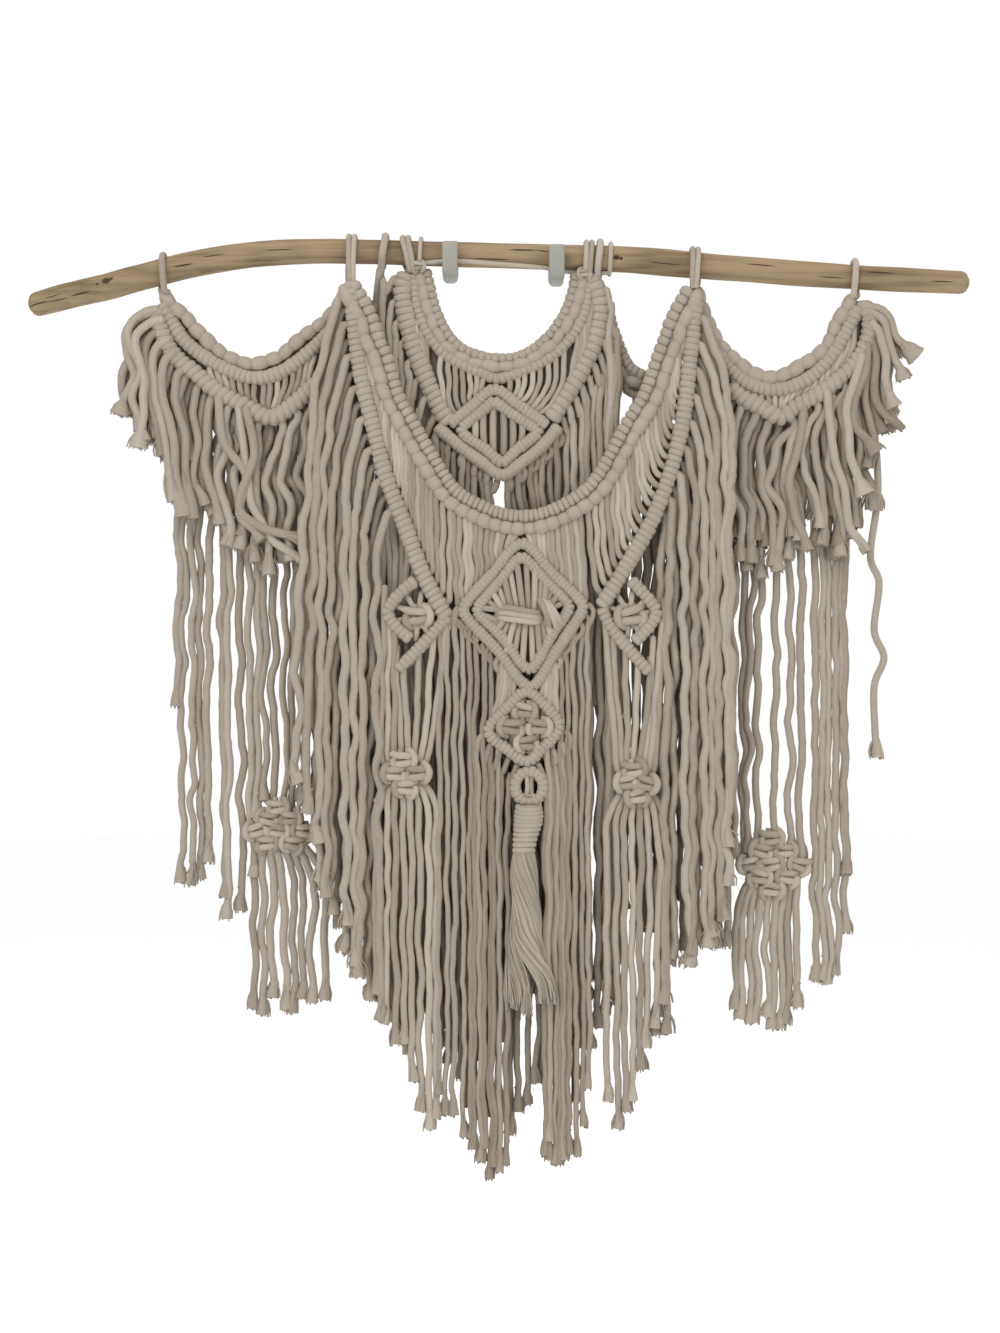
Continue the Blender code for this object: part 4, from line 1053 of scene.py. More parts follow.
middleSwag = {
    "y": -24.0,
    "heading": [(-66, -13), (-64, -20), (-60.4, -36), (-55.8, -50.4), (-49.6, -63), (-41, -73.5),
                (-30, -80.5), (-15, -85.3), (-1, -86.3), (13.2, -84.3), (26.5, -77.3), (37.9, -67.5),
                (46.7, -56.2), (53.9, -43.7), (58.4, -29.2), (61, -15)],
    "band": [(-72, -15), (-71, -28), (-69, -42), (-63, -58.5), (-54.5, -72), (-43, -82), (-29, -89.5),
             (-16, -94.5), (-7, -98.5), (2, -97), (14, -92.5), (30, -85.5), (43.5, -76), (54.5, -64),
             (62.5, -50), (66.5, -35), (68, -17)],
    "left": [(-78, -15), (-81, -24), (-80.5, -37), (-78, -51), (-73, -71), (-66, -89), (-59, -106),
             (-51, -123), (-44, -134)],
    "right": [(70, -16), (75, -30), (77, -44), (75.5, -56), (71.5, -72), (62, -92), (50, -112), (38, -131)],
    "roof": [(-43, -135), (-26, -121.5), (-8, -107.5), (10, -119), (34, -136)],
    "point": [(-53, -138), (-43, -146.5), (-32, -155.5), (-17, -166), (-1.5, -176), (14, -166), (30, -153),
              (43, -138)],
    "diamond": [(-8, -117.5), (5, -126), (21, -136), (27, -141), (22, -147), (10, -156), (-1.5, -166),
                (-14, -156), (-30, -145.5), (-34, -139.5), (-30, -134.5), (-18, -125)],
    "netFoot": [(-70, -200), (-50, -168), (-34, -162), (-17, -169), (-1.5, -175.5), (14, -169), (28, -161),
                (41, -162), (66, -200)],
    "headingSize": 0.76, "headingPitch": 11.6, "barSide": -3.4, "barAcross": 1.32,
    # Row of hitches: piece, node, depth, pitch, lean, size of a turn, radius of the core cord
    "rows": {
        "band": ("middle_second_row", "middle_band", 1.0, 4.6, 0, (1.15, 0.95, 0.72), 3.0),
        "left": ("middle_side_band_left", "middle_side_left", 0, 5.5, -4, (1.3, 1.05, 1.1), 3.0),
        "right": ("middle_side_band_right", "middle_side_right", 0, 6.4, 4, (1.48, 1.05, 1.0), 3.0),
        "roof": ("middle_diamond_band", "middle_diamond", -1, 3.7, 0, (1.0, 0.85, 0.7), 2.2),
        "diamond": ("middle_diamond_inner_band", "middle_diamond_inner", -1, 3.7, 0, (1.0, 0.85, 0.7), 2.2),
        "point": ("middle_point_band_knots", "middle_point_band", -1, 3.7, 0, (1.22, 0.95, 0.76), 2.2),
    },
    "netRadius": 2.3,
    "nets": [
        {"count": 7, "x": [-50, -12], "toX": [-43, -14], "leave": -5.0, "enter": 4.0, "slack": 0.1},
        {"count": 8, "x": [0, 48], "toX": [0, 28], "leave": -5.0, "enter": 4.0, "slack": 0.1},
        {"count": 5, "from": [0.08, 0.24], "to": [0.3, 0.95], "leave": -5.0, "enter": 5.0, "slack": 0.2},
        {"count": 6, "from": [0.92, 0.78], "to": [0.3, 0.95], "leave": -5.0, "enter": -5.0, "slack": 0.2},
    ],
    # Cords that show inside the small diamond
    "window": {"top": [(-23, -127), (-8, -118), (14, -131)], "foot": [(-23, -148), (-3, -160), (14, -149)],
               "count": 6, "radius": 2.8},
    # Shaded cords behind the net and the fringe
    "curtains": {
        "net": {"count": 27, "x": [-66, 62], "y": -14.0, "radius": 4.3},
        "left": {"count": 7, "x": [-99, -62], "tips": [-230, -230], "y": -13.0, "radius": 4.0},
        "right": {"count": 6, "x": [56, 88], "tips": [-230, -230], "y": -13.0, "radius": 3.8},
        "slit": {"count": 4, "x": [63, 78], "tips": [-364, -364], "y": -13.0, "radius": 3.8},
        "slitSides": {"count": 2, "x": [65.5, 76.0], "tips": [-600, -590], "y": -13.0, "radius": 4.1,
                      "tone": -0.1},
        "centre": {"count": 27, "x": [-98, 59], "tips": [-540, -580, -620, -640, -640, -590, -585, -590],
                   "y": -13.0, "radius": 4.1},
        "small": {"count": 6, "x": [82, 122], "tips": [-500, -540, -550], "y": -15.0, "radius": 3.6},
    },
    # Lines that the shaded cords start from
    "wide": [(-104, -41), (-97, -34), (-90, -25), (-80, -23), (-66, -60), (-50, -96), (-6, -110), (40, -96),
             (60, -62), (74, -46), (82, -50), (90, -66), (96, -92)],
    "low": [(-104, -150), (-50, -150), (-12, -166), (-9, -214), (2, -214), (5, -166), (50, -150),
            (130, -150)],
    "fringe": {"count": 19, "roots": [0.02, 0.98], "side": -5.0,
               "x": [-55, -50, -45, -39.5, -34, -28.5, -23, -17.5, -12.5, -10.5, 3.5, 7.5, 12, 16.5, 21,
                     25.5, 30.5, 36, 42],
               "footX": [-64, -50, -33, -16, 6, 20, 36, 50, 60],
               "tips": [-597, -639, -664, -695, -690, -697, -686, -649, -677, -690, -650],
               "bend": [10, 8, 10], "radius": 2.7, "stagger": 3.0, "ragged": 12, "scatter": 0.5,
               "shade": 0.3},
    "sideFringes": {
        "left": {"count": 8, "roots": [0.04, 0.92], "side": -6.5,
                 "x": [-97, -92, -88, -83, -78, -74, -70, -66], "tips": [-590, -610, -640, -560],
                 "bend": [20, 26], "radius": 3.0, "stagger": 2.0, "ragged": 10},
        "right": {"count": 12, "roots": [0.1, 0.95], "side": 5.0,
                  "x": [84, 87.5, 90.5, 91, 87, 82, 77.5, 72.5, 67, 62, 56.5, 51],
                  "footX": [84, 87.5, 90.5, 91, 87, 82, 77, 65.5, 62, 58, 54, 50],
                  "tips": [-590, -600, -640, -590], "bend": [30, 22], "radius": 3.1, "stagger": 2.0,
                  "ragged": 10},
    },
}


def makeMiddleSwag():
    values, y = middleSwag, middleSwag["y"]
    heading = headingOf("middleHeading", values["heading"], y, values["headingPitch"],
                        values["headingSize"], 31, 0.0, values["barSide"], values["barAcross"])
    piece("middle_heading_knots", heading, ["middle_heading"])
    for seed, (key, (name, node, deep, pitch, lean, size, core)) in enumerate(values["rows"].items(), 32):
        piece(name, bandOf(key, values[key], y + deep, pitch, lean, size, key == "diamond", seed, core),
              [node])
    cords = []
    for net, end in zip(values["nets"], ("roof", "roof", "left", "right")):
        cords += legs({**net, "radius": values["netRadius"], "y": y}, values["band"], values[end])
    window = values["window"]
    top, foot = smoothPath(window["top"]), smoothPath(window["foot"])
    for share in np.linspace(0, 1, window["count"]):
        (ax, az), (bx, bz) = spot(top, share), spot(foot, share)
        route = [(ax, y + 2, az), ((ax + bx) / 2 + dice.uniform(-1, 1), y - 1, (az + bz) / 2),
                 (bx, y + 2, bz)]
        cords.append({"route": route, "radius": window["radius"], "tone": dice.random()})
    hidden = values["curtains"]
    behind = curtain(hidden["net"], values["band"], values["netFoot"])
    behind += curtain(hidden["left"], values["wide"]) + curtain(hidden["right"], values["wide"])
    piece("middle_net_cords", [cordsOf("middleNet", cords, 8, 4.0, 1.0, 30.0, 6.0),
                               cordsOf("middleBehind", behind, 7, 6.0, 1.0, 60.0, 9.0)], ["middle_net"])
    cords = hanging({**values["fringe"], "y": y + 1}, values["point"])
    for side in ("left", "right"):
        cords += hanging({**values["sideFringes"][side], "y": y + 1}, values[side])
    behind = []
    for key in ("centre", "small", "slit", "slitSides"):
        behind += curtain(hidden[key], values["low"])
    piece("middle_fringe_cords", fringeOf("middleFringe", cords, 1.1, 66.0, 7.0, kink=8.0)
          + fringeOf("middleRear", behind, 1.6, 60.0, 7.0, step=6.0), ["middle_fringe"])


makeMiddleSwag()
print("middle swag")


# The side swags.

sideSwags = {
    "y": -24.0,
    "left": {
        "heading": [(-272, -31), (-266, -40), (-254, -50), (-240, -66), (-221, -81), (-201, -87),
                    (-180, -80.5), (-161, -65), (-143, -52), (-128, -34)],
        "band": [(-274, -40), (-267, -51), (-257, -67), (-240, -81), (-220, -92), (-201, -98), (-182, -95),
                 (-164, -84), (-148, -70), (-131, -52)],
        "point": [(-277, -43), (-275, -58), (-264, -80), (-247, -94), (-229, -109), (-210, -119),
                  (-187, -130), (-168, -119), (-152, -104), (-142, -94)],
        "net": {"count": 15, "x": [-236, -152], "leave": -5.0, "enter": 5.0, "slack": 0.3},
        "behindNet": {"count": 23, "x": [-264, -122], "y": -15.0, "radius": 4.2, "above": -2.0},
        "behindFringe": {"count": 19, "x": [-282, -146], "tips": [-140, -180, -190, -215, -225, -225, -220],
                         "y": -15.0, "radius": 3.8},
        "fringe": {"count": 28, "roots": [0.01, 0.98], "side": -6.0,
                   "x": [-304, -294, -283, -273, -260, -247, -234, -221, -208, -196, -184, -172, -158,
                         -146],
                   "tips": [-126, -146, -152, -172, -200, -214, -232, -240, -246, -252, -250, -246, -236],
                   "ragged": 7, "bend": [26, 34, 30, 24], "radius": 3.6, "stagger": 6.5, "scatter": 1.4,
                   "drift": 4, "trend": 4.0},
    },
    "right": {
        "heading": [(154, -28), (161, -50), (171, -69), (183, -82), (198, -94), (216, -98), (235, -90),
                    (256, -75), (266, -55), (279, -34)],
        "band": [(160, -60), (172, -80), (186, -96), (199, -104), (216, -107.5), (233, -104), (248, -95),
                 (263, -79), (275, -58), (283, -42)],
        "point": [(180, -105), (191, -114), (207, -122), (222, -130), (233, -121), (251, -111), (270, -97),
                  (284, -82), (291, -67), (293, -52), (287, -38)],
        "net": {"count": 19, "x": [184, 279], "leave": -5.0, "enter": 5.0, "slack": 0.3},
        "behindNet": {"count": 22, "x": [157, 290], "y": -15.0, "radius": 4.2, "above": -2.0},
        "behindFringe": {"count": 16, "x": [174, 292], "tips": [-215, -230, -230, -215, -210, -200, -160],
                         "y": -15.0, "radius": 3.8},
        "fringe": {"count": 26, "roots": [0.02, 0.93], "side": -6.0,
                   "x": [170, 182, 192, 202, 212, 223, 235, 246, 256, 266, 276, 287, 296, 303],
                   "tips": [-238, -246, -256, -257, -244, -236, -216, -246, -238, -222, -200, -150, -125],
                   "bend": [20, 24, 30], "ragged": 9, "radius": 3.6, "stagger": 6.5, "scatter": 1.4,
                   "drift": 4, "trend": 9.0},
    },
    "headingPitch": 11.4, "barSize": (0.98, 0.95, 1.18), "bandPitch": 4.6, "bandSize": (1.2, 1.0, 0.86),
    "pointPitch": 5.8, "pointSize": (1.42, 1.05, 1.04), "pointLean": 24.0, "netRadius": 2.4,
    # Cords that bulge out at the shoulder or stray: how far the cut end is combed out, its spread, the route
    "stray": {
        "left": [(14, 2.8, [(-274, -46), (-290, -50), (-301, -62), (-303, -80), (-296, -98), (-303, -116)]),
                 (12, 1.8, [(-276, -44), (-286, -46), (-297, -56), (-299, -72), (-292, -90), (-295, -112),
                            (-290, -138)]),
                 (16, 2.6, [(-272, -52), (-284, -56), (-293, -70), (-290, -94), (-286, -118),
                            (-290, -140)]),
                 (16, 1.8, [(-270, -60), (-281, -64), (-288, -80), (-284, -102), (-280, -126),
                            (-276, -146)]),
                 (34, 2.2, [(-267, -68), (-277, -74), (-281, -92), (-277, -116), (-272, -142),
                            (-268, -166)]),
                 (44, 2.4, [(-262, -78), (-271, -86), (-273, -106), (-268, -130), (-264, -150),
                            (-262, -168)]),
                 (42, 2.2, [(-254, -90), (-262, -98), (-262, -120), (-256, -146), (-254, -172)]),
                 (12, 1.6, [(-228, -113), (-224, -150), (-206, -176), (-212, -206), (-200, -220)]),
                 (16, 1.9, [(-206, -122), (-200, -160), (-212, -200), (-198, -216), (-172, -224)]),
                 (16, 1.7, [(-212, -120), (-206, -170), (-200, -204), (-184, -228), (-166, -240)])],
        "right": [(15, 3.0, [(288, -42), (299, -43), (308, -52), (314, -64), (320, -71)]),
                  (12, 2.2, [(291, -46), (302, -52), (308, -66), (309, -80), (314, -90)]),
                  (11, 2.2, [(292, -54), (301, -64), (303, -84), (304, -100), (309, -112)]),
                  (10, 1.0, [(293, -62), (297, -84), (297, -110), (302, -124), (312, -133)]),
                  (15, 2.6, [(290, -70), (288, -96), (280, -118), (279, -136), (288, -147)]),
                  (16, 2.8, [(286, -80), (280, -100), (274, -130), (276, -160), (283, -178)]),
                  (12, 1.7, [(240, -116), (236, -150), (228, -184), (232, -206), (240, -226)]),
                  (12, 1.3, [(258, -108), (262, -150), (272, -186), (274, -214), (284, -228)])],
    },
}


def makeSideSwag(side, seed):
    values, y = sideSwags[side], sideSwags["y"]
    path = values["heading"]
    route = flat(path, y)
    length = pathLength(smoothPath(path))
    pillows = rowOf(side + "Pillows", route, barPart, round(length / sideSwags["headingPitch"]),
                    size=sideSwags["barSize"], leanSpread=10, sizeSpread=0.1, seed=seed)
    core = cordsOf(side + "PillowCore", [{"route": flat(path, y + 1.5), "radius": 3.3}], 7, 5.0)
    piece(side + "_swag_heading_knots", [pillows, core], [side + "_swag_heading"])
    band = bandOf(side + "Band", values["band"], y, sideSwags["bandPitch"], size=sideSwags["bandSize"],
                  seed=seed + 1)
    piece(side + "_swag_second_row", band, [side + "_swag_band"])
    point = bandOf(side + "Point", values["point"], y - 1, sideSwags["pointPitch"], sideSwags["pointLean"],
                   sideSwags["pointSize"], seed=seed + 2)
    piece(side + "_swag_point_knots", point, [side + "_swag_point_band"])
    net = legs({**values["net"], "radius": sideSwags["netRadius"], "y": y + 1}, values["band"],
               values["point"])
    behind = curtain(values["behindNet"], values["heading"], values["point"])
    piece(side + "_swag_net_cords", [cordsOf(side + "Net", net, 8, 4.0, 0.8, 30.0, 6.0),
                                     cordsOf(side + "NetBehind", behind, 7, 6.0)], [side + "_swag_net"])
    cords = hanging({**values["fringe"], "y": y + 1}, values["point"])
    cords += curtain(values["behindFringe"], values["point"])
    for n, (length, spread, points) in enumerate(sideSwags["stray"][side]):
        play = [0, 0.2] + [0.4] * (len(points) - 2)
        cords.append({"route": flat(points, y - 3.0 - 1.5 * (n % 3)), "radius": 3.6,
                      "tone": dice.random() - 0.2, "fray": length, "spread": spread, "play": play})
        inner = [(px * 0.985, pz - 3.0) for px, pz in points[:-1]]  # a second cord behind each of them
        # The cord behind gets a low tone, which is painted shade.
        cords.append({"route": flat(inner, y + 4.0), "radius": 3.6, "tone": dice.random() - 0.9,
                      "play": play[:-1]})
    piece(side + "_swag_fringe_cords", fringeOf(side + "Fringe", cords, 4.0, 58.0, 9.0, 1.4, 6.0),
          [side + "_swag_fringe"])


makeSideSwag("left", 41)
makeSideSwag("right", 45)
print("side swags")


# The back swags, in the shade of the others.

backSwags = {
    "y": -10.0,
    "left": {
        "heading": [(-262, -58), (-255, -76), (-243, -90), (-220, -101), (-198, -105), (-172, -101),
                    (-147, -92), (-132, -80), (-122, -70), (-112, -53), (-104, -36)],
        "cords": {"count": 22, "roots": [0.02, 0.97], "side": -7.0,
                  "x": [-263, -258, -250, -245, -236, -228, -221, -213, -206, -199, -193, -186, -178, -170,
                        -161, -152, -143, -134, -126, -119, -113, -107], "ragged": 12, "drift": 3,
                  "tips": [-368, -511, -505, -490, -500, -533, -538, -520, -445, -445, -445, -445, -445,
                           -445, -470, -530, -545, -566, -572, -592], "bend": [30], "radius": 3.1,
                  "stagger": 2.0},
        "behind": {"count": 9, "x": [-160, -100], "tips": [-440, -500, -530, -560], "radius": 3.5},
        "knots": [(-181, -442), (-191, -451), (-171, -451), (-200, -461), (-181, -461), (-162, -461),
                  (-190, -471), (-171, -471)],
        "below": {"count": 8, "fromX": [-200, -162], "fromZ": -472.0, "bend": [34], "radius": 3.2,
                  "ragged": 8, "x": [-201, -193, -185, -178, -170, -162, -154, -145],
                  "tips": [-606, -604, -602, -600, -604, -600, -603]},
    },
    "right": {
        "heading": [(77, -30), (81, -48), (87, -67), (96, -88), (109, -98), (133, -104), (157, -109),
                    (186, -113), (215, -115), (240, -106), (261, -95), (270, -77), (277, -59)],
        "cords": {"count": 21, "roots": [0.18, 0.98], "side": -7.0,
                  "x": [126, 134, 142, 150, 157, 164, 171, 178, 185, 191, 199, 207, 220, 228, 240, 251, 257,
                        262, 267, 271, 274], "ragged": 6, "drift": 3,
                  "tips": [-610, -575, -553, -550, -548, -545, -552, -560, -480, -480, -480, -480, -480,
                           -480, -486, -586, -588, -588, -580, -545, -503], "bend": [30], "radius": 3.1,
                  "stagger": 2.0},
        "behind": {"count": 8, "x": [108, 168], "tips": [-540, -520, -480], "radius": 3.5},
        "knots": [(216, -467), (206, -477), (227, -477), (196, -488), (216, -488), (237, -488), (206, -498),
                  (227, -498), (216, -508)],
        "below": {"count": 9, "fromX": [198, 236], "fromZ": -500.0, "bend": [30], "radius": 3.2,
                  "ragged": 5, "x": [187, 192, 198, 204, 210, 217, 223, 229, 236],
                  "tips": [-604, -612, -615, -616, -617, -622, -622, -614, -602]},
    },
    "stray": [(290, -118), (297, -140), (300, -190), (294, -240), (301, -262), (297, -300), (305, -322),
              (297, -345), (298, -386)],
    "headingSize": 0.85,
}


def makeBackSwag(side, seed):
    values, y = backSwags[side], backSwags["y"]
    heading = headingOf("back" + side, values["heading"], y + 0.5, size=backSwags["headingSize"], seed=seed)
    piece("back_" + side + "_heading_knots", heading, ["back_" + side + "_heading"])
    cords = hanging({**values["cords"], "y": y + 1}, values["heading"])
    cords += curtain({**values["behind"], "y": y + 4}, values["heading"])
    if side == "right":
        cords.append({"route": flat(backSwags["stray"], y - 8), "radius": 3.0, "tone": dice.random()})
    piece("back_" + side + "_fringe_cords", fringeOf("backFringe" + side, cords, 1.7, 75.0, 7.0, kink=9.0),
          ["back_" + side + "_fringe"])
    knots = cordsOf("backKnots" + side, knotCords(values["knots"], y - 2, 1.0), 7, 2.6)
    piece("back_" + side + "_cluster_knots",
          fringeOf("backBelow" + side, hanging({**values["below"], "y": y + 1}), 1.5, 70.0, 7.0,
                   kink=8.0) + [knots], ["back_" + side + "_cluster"])


makeBackSwag("left", 51)
makeBackSwag("right", 53)
print("back swags")


# The stick, its ties and the hooks.

stick = {
    "depth": -20.0,
    # Along the stick: x, height, radius
    "line": [(-380.5, -40.0, 9.6), (-345, -31.0, 10.4), (-311, -22.8, 10.6), (-256, -8.1, 10.5),
             (-201.6, 1.0, 10.3), (-145.6, 3.9, 9.9), (-59.2, 1.8, 9.9), (10.4, -0.4, 10.0),
             (80, -2.2, 10.4), (117.6, -4.4, 10.8), (179.2, -9.6, 10.2), (240, -14.4, 9.9),
             (321.6, -19.3, 9.7), (372.5, -21.6, 9.3)],
    "sides": 30, "step": 2.2, "ridges": 0.55, "endRound": 7.0,
    # Knots and drying cracks: x, height, half length, half width, slope in degrees
    "marks": [(-317.6, -21.2, 3.6, 2.7, 20), (-314.2, -19.8, 2.6, 0.9, 32), (-324.5, -23.8, 1.3, 0.8, 10),
              (89.6, -2.6, 2.9, 1.9, -4), (93.4, -3.4, 1.6, 1.2, 0), (-372.0, -39.6, 9.5, 0.45, 15),
              (-355.5, -36.6, 7.5, 0.4, 11), (-338.0, -31.6, 8.2, 0.6, 14), (-360.0, -33.6, 6.5, 0.3, 15),
              (-256.0, -9.0, 8.0, 0.6, 10), (-232.0, -1.2, 9.0, 0.35, 9), (-180.0, 3.4, 12.0, 0.4, 2),
              (15.0, 3.4, 11.5, 0.7, -1), (31.0, 2.6, 6.0, 0.45, -9), (-10.0, -3.8, 15.0, 0.35, -2),
              (128.0, -7.5, 12.0, 0.4, -5), (205.0, -8.6, 13.0, 0.45, -5), (262.0, -18.6, 10.0, 0.4, -4),
              (300.0, -14.6, 12.0, 0.5, -3), (350.0, -21.8, 9.0, 0.45, -2)],
}
stickLook = {"light": "#9A8668", "dark": "#6E5D44", "mark": "#3F3020", "long": 90.0, "wide": 2.2}


def makeDriftwood(name, values):
    # Bare sun-dried branch, peeled and sanded: matt, pale brown, long grain, dark drying cracks and knots
    made, tree, shader = newMaterial(name, {"Roughness": 0.72, "Specular IOR Level": 0.3})
    place = addNode(tree, "ShaderNodeTexCoord")
    across = 1000 / values["wide"] / 2
    grainPlace = addNode(tree, "ShaderNodeVectorMath",
                         {0: place.outputs["Object"], 1: (1000 / values["long"], across, across)},
                         operation="MULTIPLY")
    grain = addNode(tree, "ShaderNodeTexNoise",
                    {"Vector": grainPlace, "Scale": 1.0, "Detail": 5.0, "Roughness": 0.55})
    broad = addNode(tree, "ShaderNodeTexNoise",
                    {"Vector": place.outputs["Object"], "Scale": 16.0, "Detail": 2.0})
    both = addNode(tree, "ShaderNodeMath", {0: broad, 1: 0.8, 2: grain}, operation="MULTIPLY_ADD")
    tint = addNode(tree, "ShaderNodeMapRange", {"Value": both, "From Min": 0.66, "From Max": 1.06})
    wood = addNode(tree, "ShaderNodeMix",
                   {0: tint, 6: colour(values["dark"]), 7: colour(values["light"])}, data_type="RGBA")
    dents = None
    for x, z, long, wide, slope in stick["marks"]:
        away = addNode(tree, "ShaderNodeVectorMath",
                       {0: place.outputs["Object"], 1: (x * mm, (stick["depth"] - 10.0) * mm, z * mm)},
                       operation="SUBTRACT")
        level = addNode(tree, "ShaderNodeVectorRotate", {"Vector": away, "Angle": math.radians(slope)},
                        rotation_type="Y_AXIS")
        fitted = addNode(tree, "ShaderNodeVectorMath",
                         {0: level, 1: (1000 / long, 1000 / 14.0, 1000 / wide)}, operation="MULTIPLY")
        reach = addNode(tree, "ShaderNodeVectorMath", {0: fitted}, operation="LENGTH")
        mark = addNode(tree, "ShaderNodeMapRange",
                       {"Value": reach.outputs["Value"], "From Min": 1.15, "From Max": 0.6})
        if dents is None:
            dents = mark
        else:
            dents = addNode(tree, "ShaderNodeMath", {0: dents, 1: mark}, operation="MAXIMUM")
    marked = addNode(tree, "ShaderNodeMix", {0: dents, 6: wood.outputs[2], 7: colour(values["mark"])},
                     data_type="RGBA")
    fine = addNode(tree, "ShaderNodeBump", {"Strength": 0.45, "Distance": 0.0005, "Height": grain})
    deep = addNode(tree, "ShaderNodeBump", {"Strength": 0.9, "Distance": 0.001, "Height": dents,
                                            "Normal": fine}, invert=True)
    tree.links.new(marked.outputs[2], shader.inputs["Base Color"])
    tree.links.new(deep.outputs[0], shader.inputs["Normal"])
    return made


def stickAt(x):
    line = stick["line"]
    return (float(np.interp(x, [p[0] for p in line], [p[1] for p in line])),
            float(np.interp(x, [p[0] for p in line], [p[2] for p in line])))


def makeStick():
    wood = makeDriftwood("bare_driftwood", stickLook)
    path = smoothPath([(x, z) for x, z, r in stick["line"]], 2.0)
    route, radii = [], []
    for n, (x, z) in enumerate(path):
        fromEnd = min(n, len(path) - 1 - n) * 2.0
        inset = max(0.0, 1 - fromEnd / stick["endRound"])
        route.append((x, stick["depth"], z))
        radii.append(stickAt(x)[1] * max(0.3, math.sqrt(1 - 0.9 * inset * inset)))
    body = cordsOf("stick_wood", [{"route": route, "radius": radii}], stick["sides"], stick["step"],
                   material=wood)
    for vertex in body.data.vertices:
        x, y, z = (v / mm for v in vertex.co)
        away = Vector((0, y - stick["depth"], z - stickAt(x)[0]))
        ridge = noise.noise(Vector((x / 45, y / 7, z / 7))) * stick["ridges"]
        for markX, markZ, long, wide, slope in stick["marks"][:5]:
            if y < stick["depth"]:
                ridge -= 1.2 * math.exp(-(math.dist((x, z), (markX, markZ)) / long) ** 2)
        if away.length > 1:
            vertex.co += away.normalized() * ridge * mm
    piece("stick_wood", [body], ["stick"])


ties = {
    # Small knots where the middle swag's loops meet it: x, height
    "knots": [(-68, -9.5), (64, -15)], "knotDepth": -30.0, "knotSize": 0.62,
    "asideBehind": 1.012,  # the rear part of a loop shows a little beside the front one
    # For each loop: x on the stick, x and height where it meets the swag, depth there, radius
    "loops": {
        "left_swag": (-273, -269, -30, -26, 2.6), "main_left": (-124, -123, -25, -38, 2.2),
        "back_left": (-95, -102, -36, -12, 3.0), "middle_left": (-81, -69, -10, -25, 2.2),
        "middle_right": (66, 64, -14, -25, 2.2), "back_right": (77, 71, -20, -14, 2.8),
        "main_right": (151, 149, -29, -38, 2.2), "right_swag": (281, 277, -33, -26, 2.6),
    },
}
# Where the hanging cord is tied to the stick, and its height below the stick's axis between the ties
hangingCord = {"left": -67.0, "right": 85.0, "radius": 1.8,
               "under": [(-63, -8.6), (-47, -6.9), (-30, -6.6), (-11, -7.4), (9, -8.2), (28, -9.2),
                         (42, -10.6), (50, -11.6), (66, -12.0), (84, -11.6)]}


def loopRoute(x, meetX, meetZ, meetY, r):
    # From the swag up over the stick and back down behind it
    z, wood = stickAt(x)
    far = wood + r + 0.3
    middle = stick["depth"]
    lean = (meetX - x) * 0.25
    back = x * ties["asideBehind"] + lean
    return [(meetX + 1, meetY, meetZ), (x + lean * 2, (meetY + middle - far) / 2, z - far - 2),
            (x + lean, middle - far, z - 2), (x, middle - far * 0.72, z + far * 0.7), (x, middle, z + far),
            (x, middle + far * 0.72, z + far * 0.7), (back - lean, middle + far, z - 1),
            (back, middle + far * 0.6, z - far * 0.8), (back + lean, middle - 2, z - far - 3),
            (meetX - 1, meetY + 2, meetZ - 1)]


def makeTies():
    routes = []
    for key, (x, meetX, meetZ, meetY, r) in ties["loops"].items():
        routes.append({"route": loopRoute(x, meetX, meetZ, meetY, r), "radius": r, "tone": dice.random()})
        if key.startswith(("main", "middle")):  # these are doubled
            second = loopRoute(x + 2 * r, meetX + 2, meetZ, meetY + 1, r)
            routes.append({"route": second, "radius": r, "tone": dice.random()})
    knots = knotCords(ties["knots"], ties["knotDepth"], ties["knotSize"])
    piece("stick_loops", [cordsOf("loops", routes, 10, 2.0), cordsOf("tieKnots", knots, 7, 2.0)],
          ["loop_" + key for key in ties["loops"]])
    r = hangingCord["radius"]
    cords = []
    for x in (hangingCord["left"], hangingCord["right"]):
        z, wood = stickAt(x)
        far = wood + r + 0.2
        ring = [(x + 0.6 * math.sin(t), stick["depth"] + far * math.cos(t), z + far * math.sin(t))
                for t in np.linspace(0, 2 * math.pi, 13)[:-1]]
        cords.append({"route": ring, "radius": r, "closed": True, "tone": 0.9})
    under = []
    for x, low in hangingCord["under"]:
        z, wood = stickAt(x)
        out = math.sqrt(max(0.0, (wood + r) ** 2 - low ** 2))  # keeps the cord on the front of the stick
        under.append((x, stick["depth"] - out, z + low))
    cords.append({"route": under, "radius": r, "tone": 0.9})
    piece("tie_cord", [cordsOf("tieCord", cords, 8, 2.2)], ["hanging_cord"])


hooks = {
    "x": {"left": -43.0, "right": 42.0}, "width": 12.4, "round": 1.5, "lowest": -23.0, "cornerRound": 8.0,
    "cornerShare": 0.8, "colour": "#9C9B94", "shade": "#8F8E87",
    # Side outline from the stick's axis: y, z
    "outline": [(19.5, 7.0), (19.5, -13.0), (16.5, -18.0), (10.0, -21.8), (0.0, -23.0), (-9.0, -21.8),
                (-16.8, -17.2), (-20.8, -9.0), (-21.3, -1.0), (-20.8, 5.6), (-19.2, 7.9), (-17.4, 6.2),
                (-16.4, -1.0), (-15.8, -6.5), (-11.8, -11.2), (-6.0, -13.0), (4.0, -13.0), (10.5, -10.5),
                (14.2, -5.5), (14.8, 0.0), (14.8, 7.0)],
}


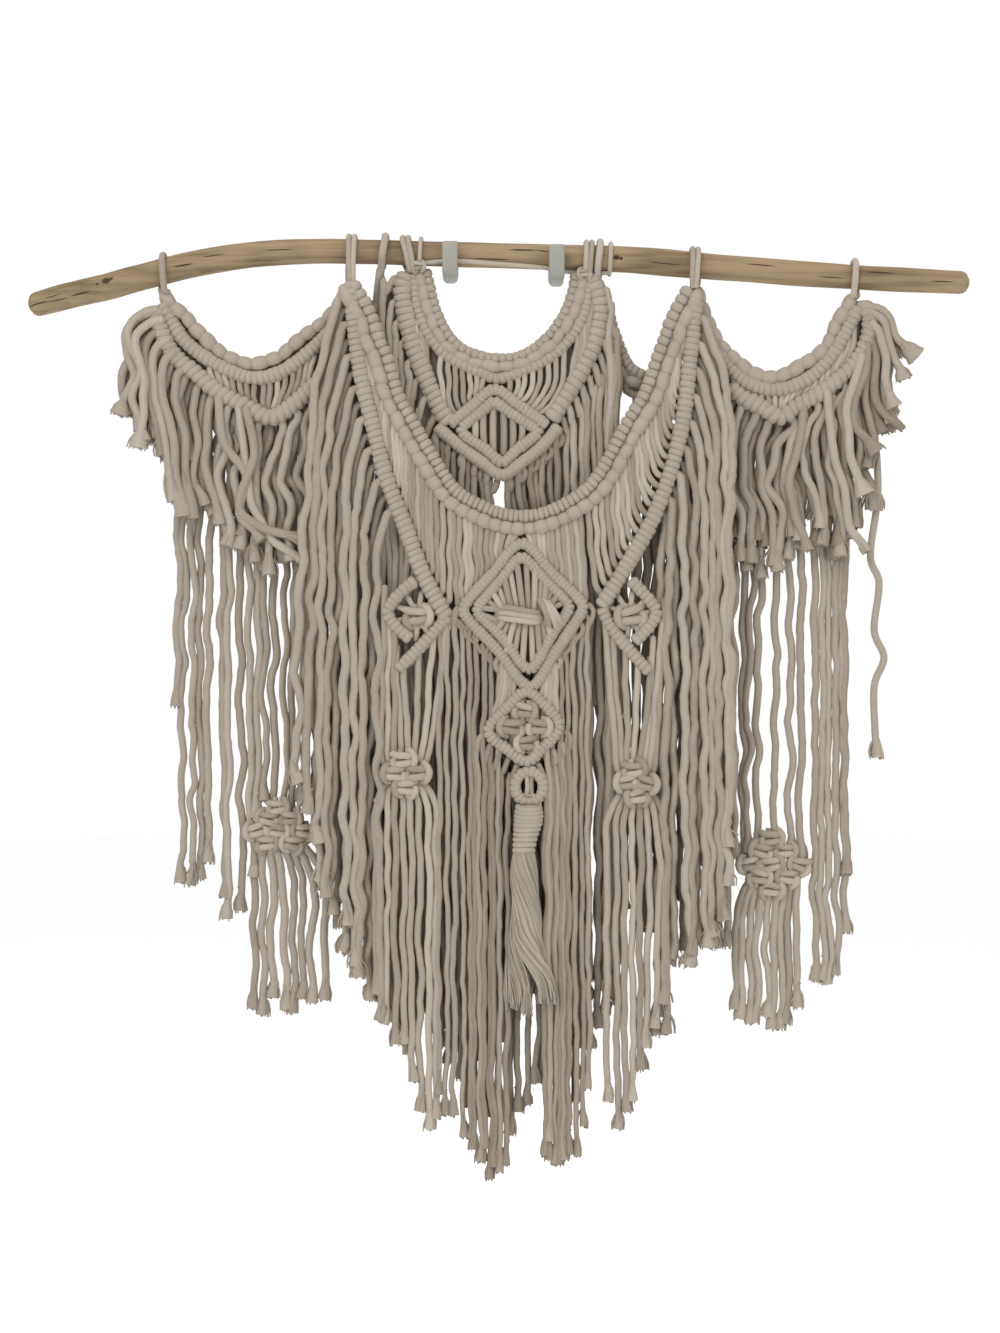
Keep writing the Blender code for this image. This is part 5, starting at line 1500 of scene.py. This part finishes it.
def makeHooks():
    # Powder-coated steel strip: smooth, faintly speckled, satin
    coat, tree, shader = newMaterial("grey_powder_coat", {"Roughness": 0.42})
    place = addNode(tree, "ShaderNodeTexCoord")
    speck = addNode(tree, "ShaderNodeTexNoise",
                    {"Vector": place.outputs["Object"], "Scale": 900.0, "Detail": 1.0})
    tint = addNode(tree, "ShaderNodeMix", {0: speck, 6: colour(hooks["shade"]), 7: colour(hooks["colour"])},
                   data_type="RGBA")
    bump = addNode(tree, "ShaderNodeBump", {"Strength": 0.2, "Distance": 0.0001, "Height": speck})
    tree.links.new(tint.outputs[2], shader.inputs["Base Color"])
    tree.links.new(bump.outputs[0], shader.inputs["Normal"])
    for side, x in hooks["x"].items():
        z = stickAt(x)[0]
        shape = bpy.data.curves.new("hookShape", "CURVE")
        shape.dimensions = "2D"
        shape.fill_mode = "BOTH"
        shape.extrude = (hooks["width"] / 2 - hooks["round"]) * mm
        shape.bevel_depth = hooks["round"] * mm
        shape.bevel_resolution = 3
        spline = shape.splines.new("POLY")
        outline = smoothPath(hooks["outline"] + hooks["outline"][:1], 1.5)[:-1]
        spline.points.add(len(outline) - 1)
        for point, (u, v) in zip(spline.points, outline):
            point.co = (u * mm, v * mm, 0, 1)
        spline.use_cyclic_u = True
        shape.offset = -hooks["round"] * mm
        holder = bpy.data.objects.new("hookShape", shape)
        scene.collection.objects.link(holder)
        mesh = bpy.data.meshes.new_from_object(holder.evaluated_get(bpy.context.evaluated_depsgraph_get()))
        bpy.data.objects.remove(holder)
        for vertex in mesh.vertices:
            u, v, w = vertex.co
            low = max(0.0, hooks["cornerRound"] - (v / mm - hooks["lowest"])) / hooks["cornerRound"]
            corner = 1 - math.sqrt(max(0.0, 1 - low * low))  # rounds the lower end's corners
            w *= 1 - hooks["cornerShare"] * corner
            vertex.co = (w + x * mm, u + stick["depth"] * mm, v + z * mm)
        hook = bpy.data.objects.new("hook", mesh)
        scene.collection.objects.link(hook)
        mesh.materials.clear()
        mesh.materials.append(coat)
        piece("hook_" + side + "_strip", [hook], ["hook_" + side])


makeStick()
makeTies()
makeHooks()
print("stick, ties and hooks")

for part in (wrapPart, barPart):
    bpy.data.objects.remove(part)
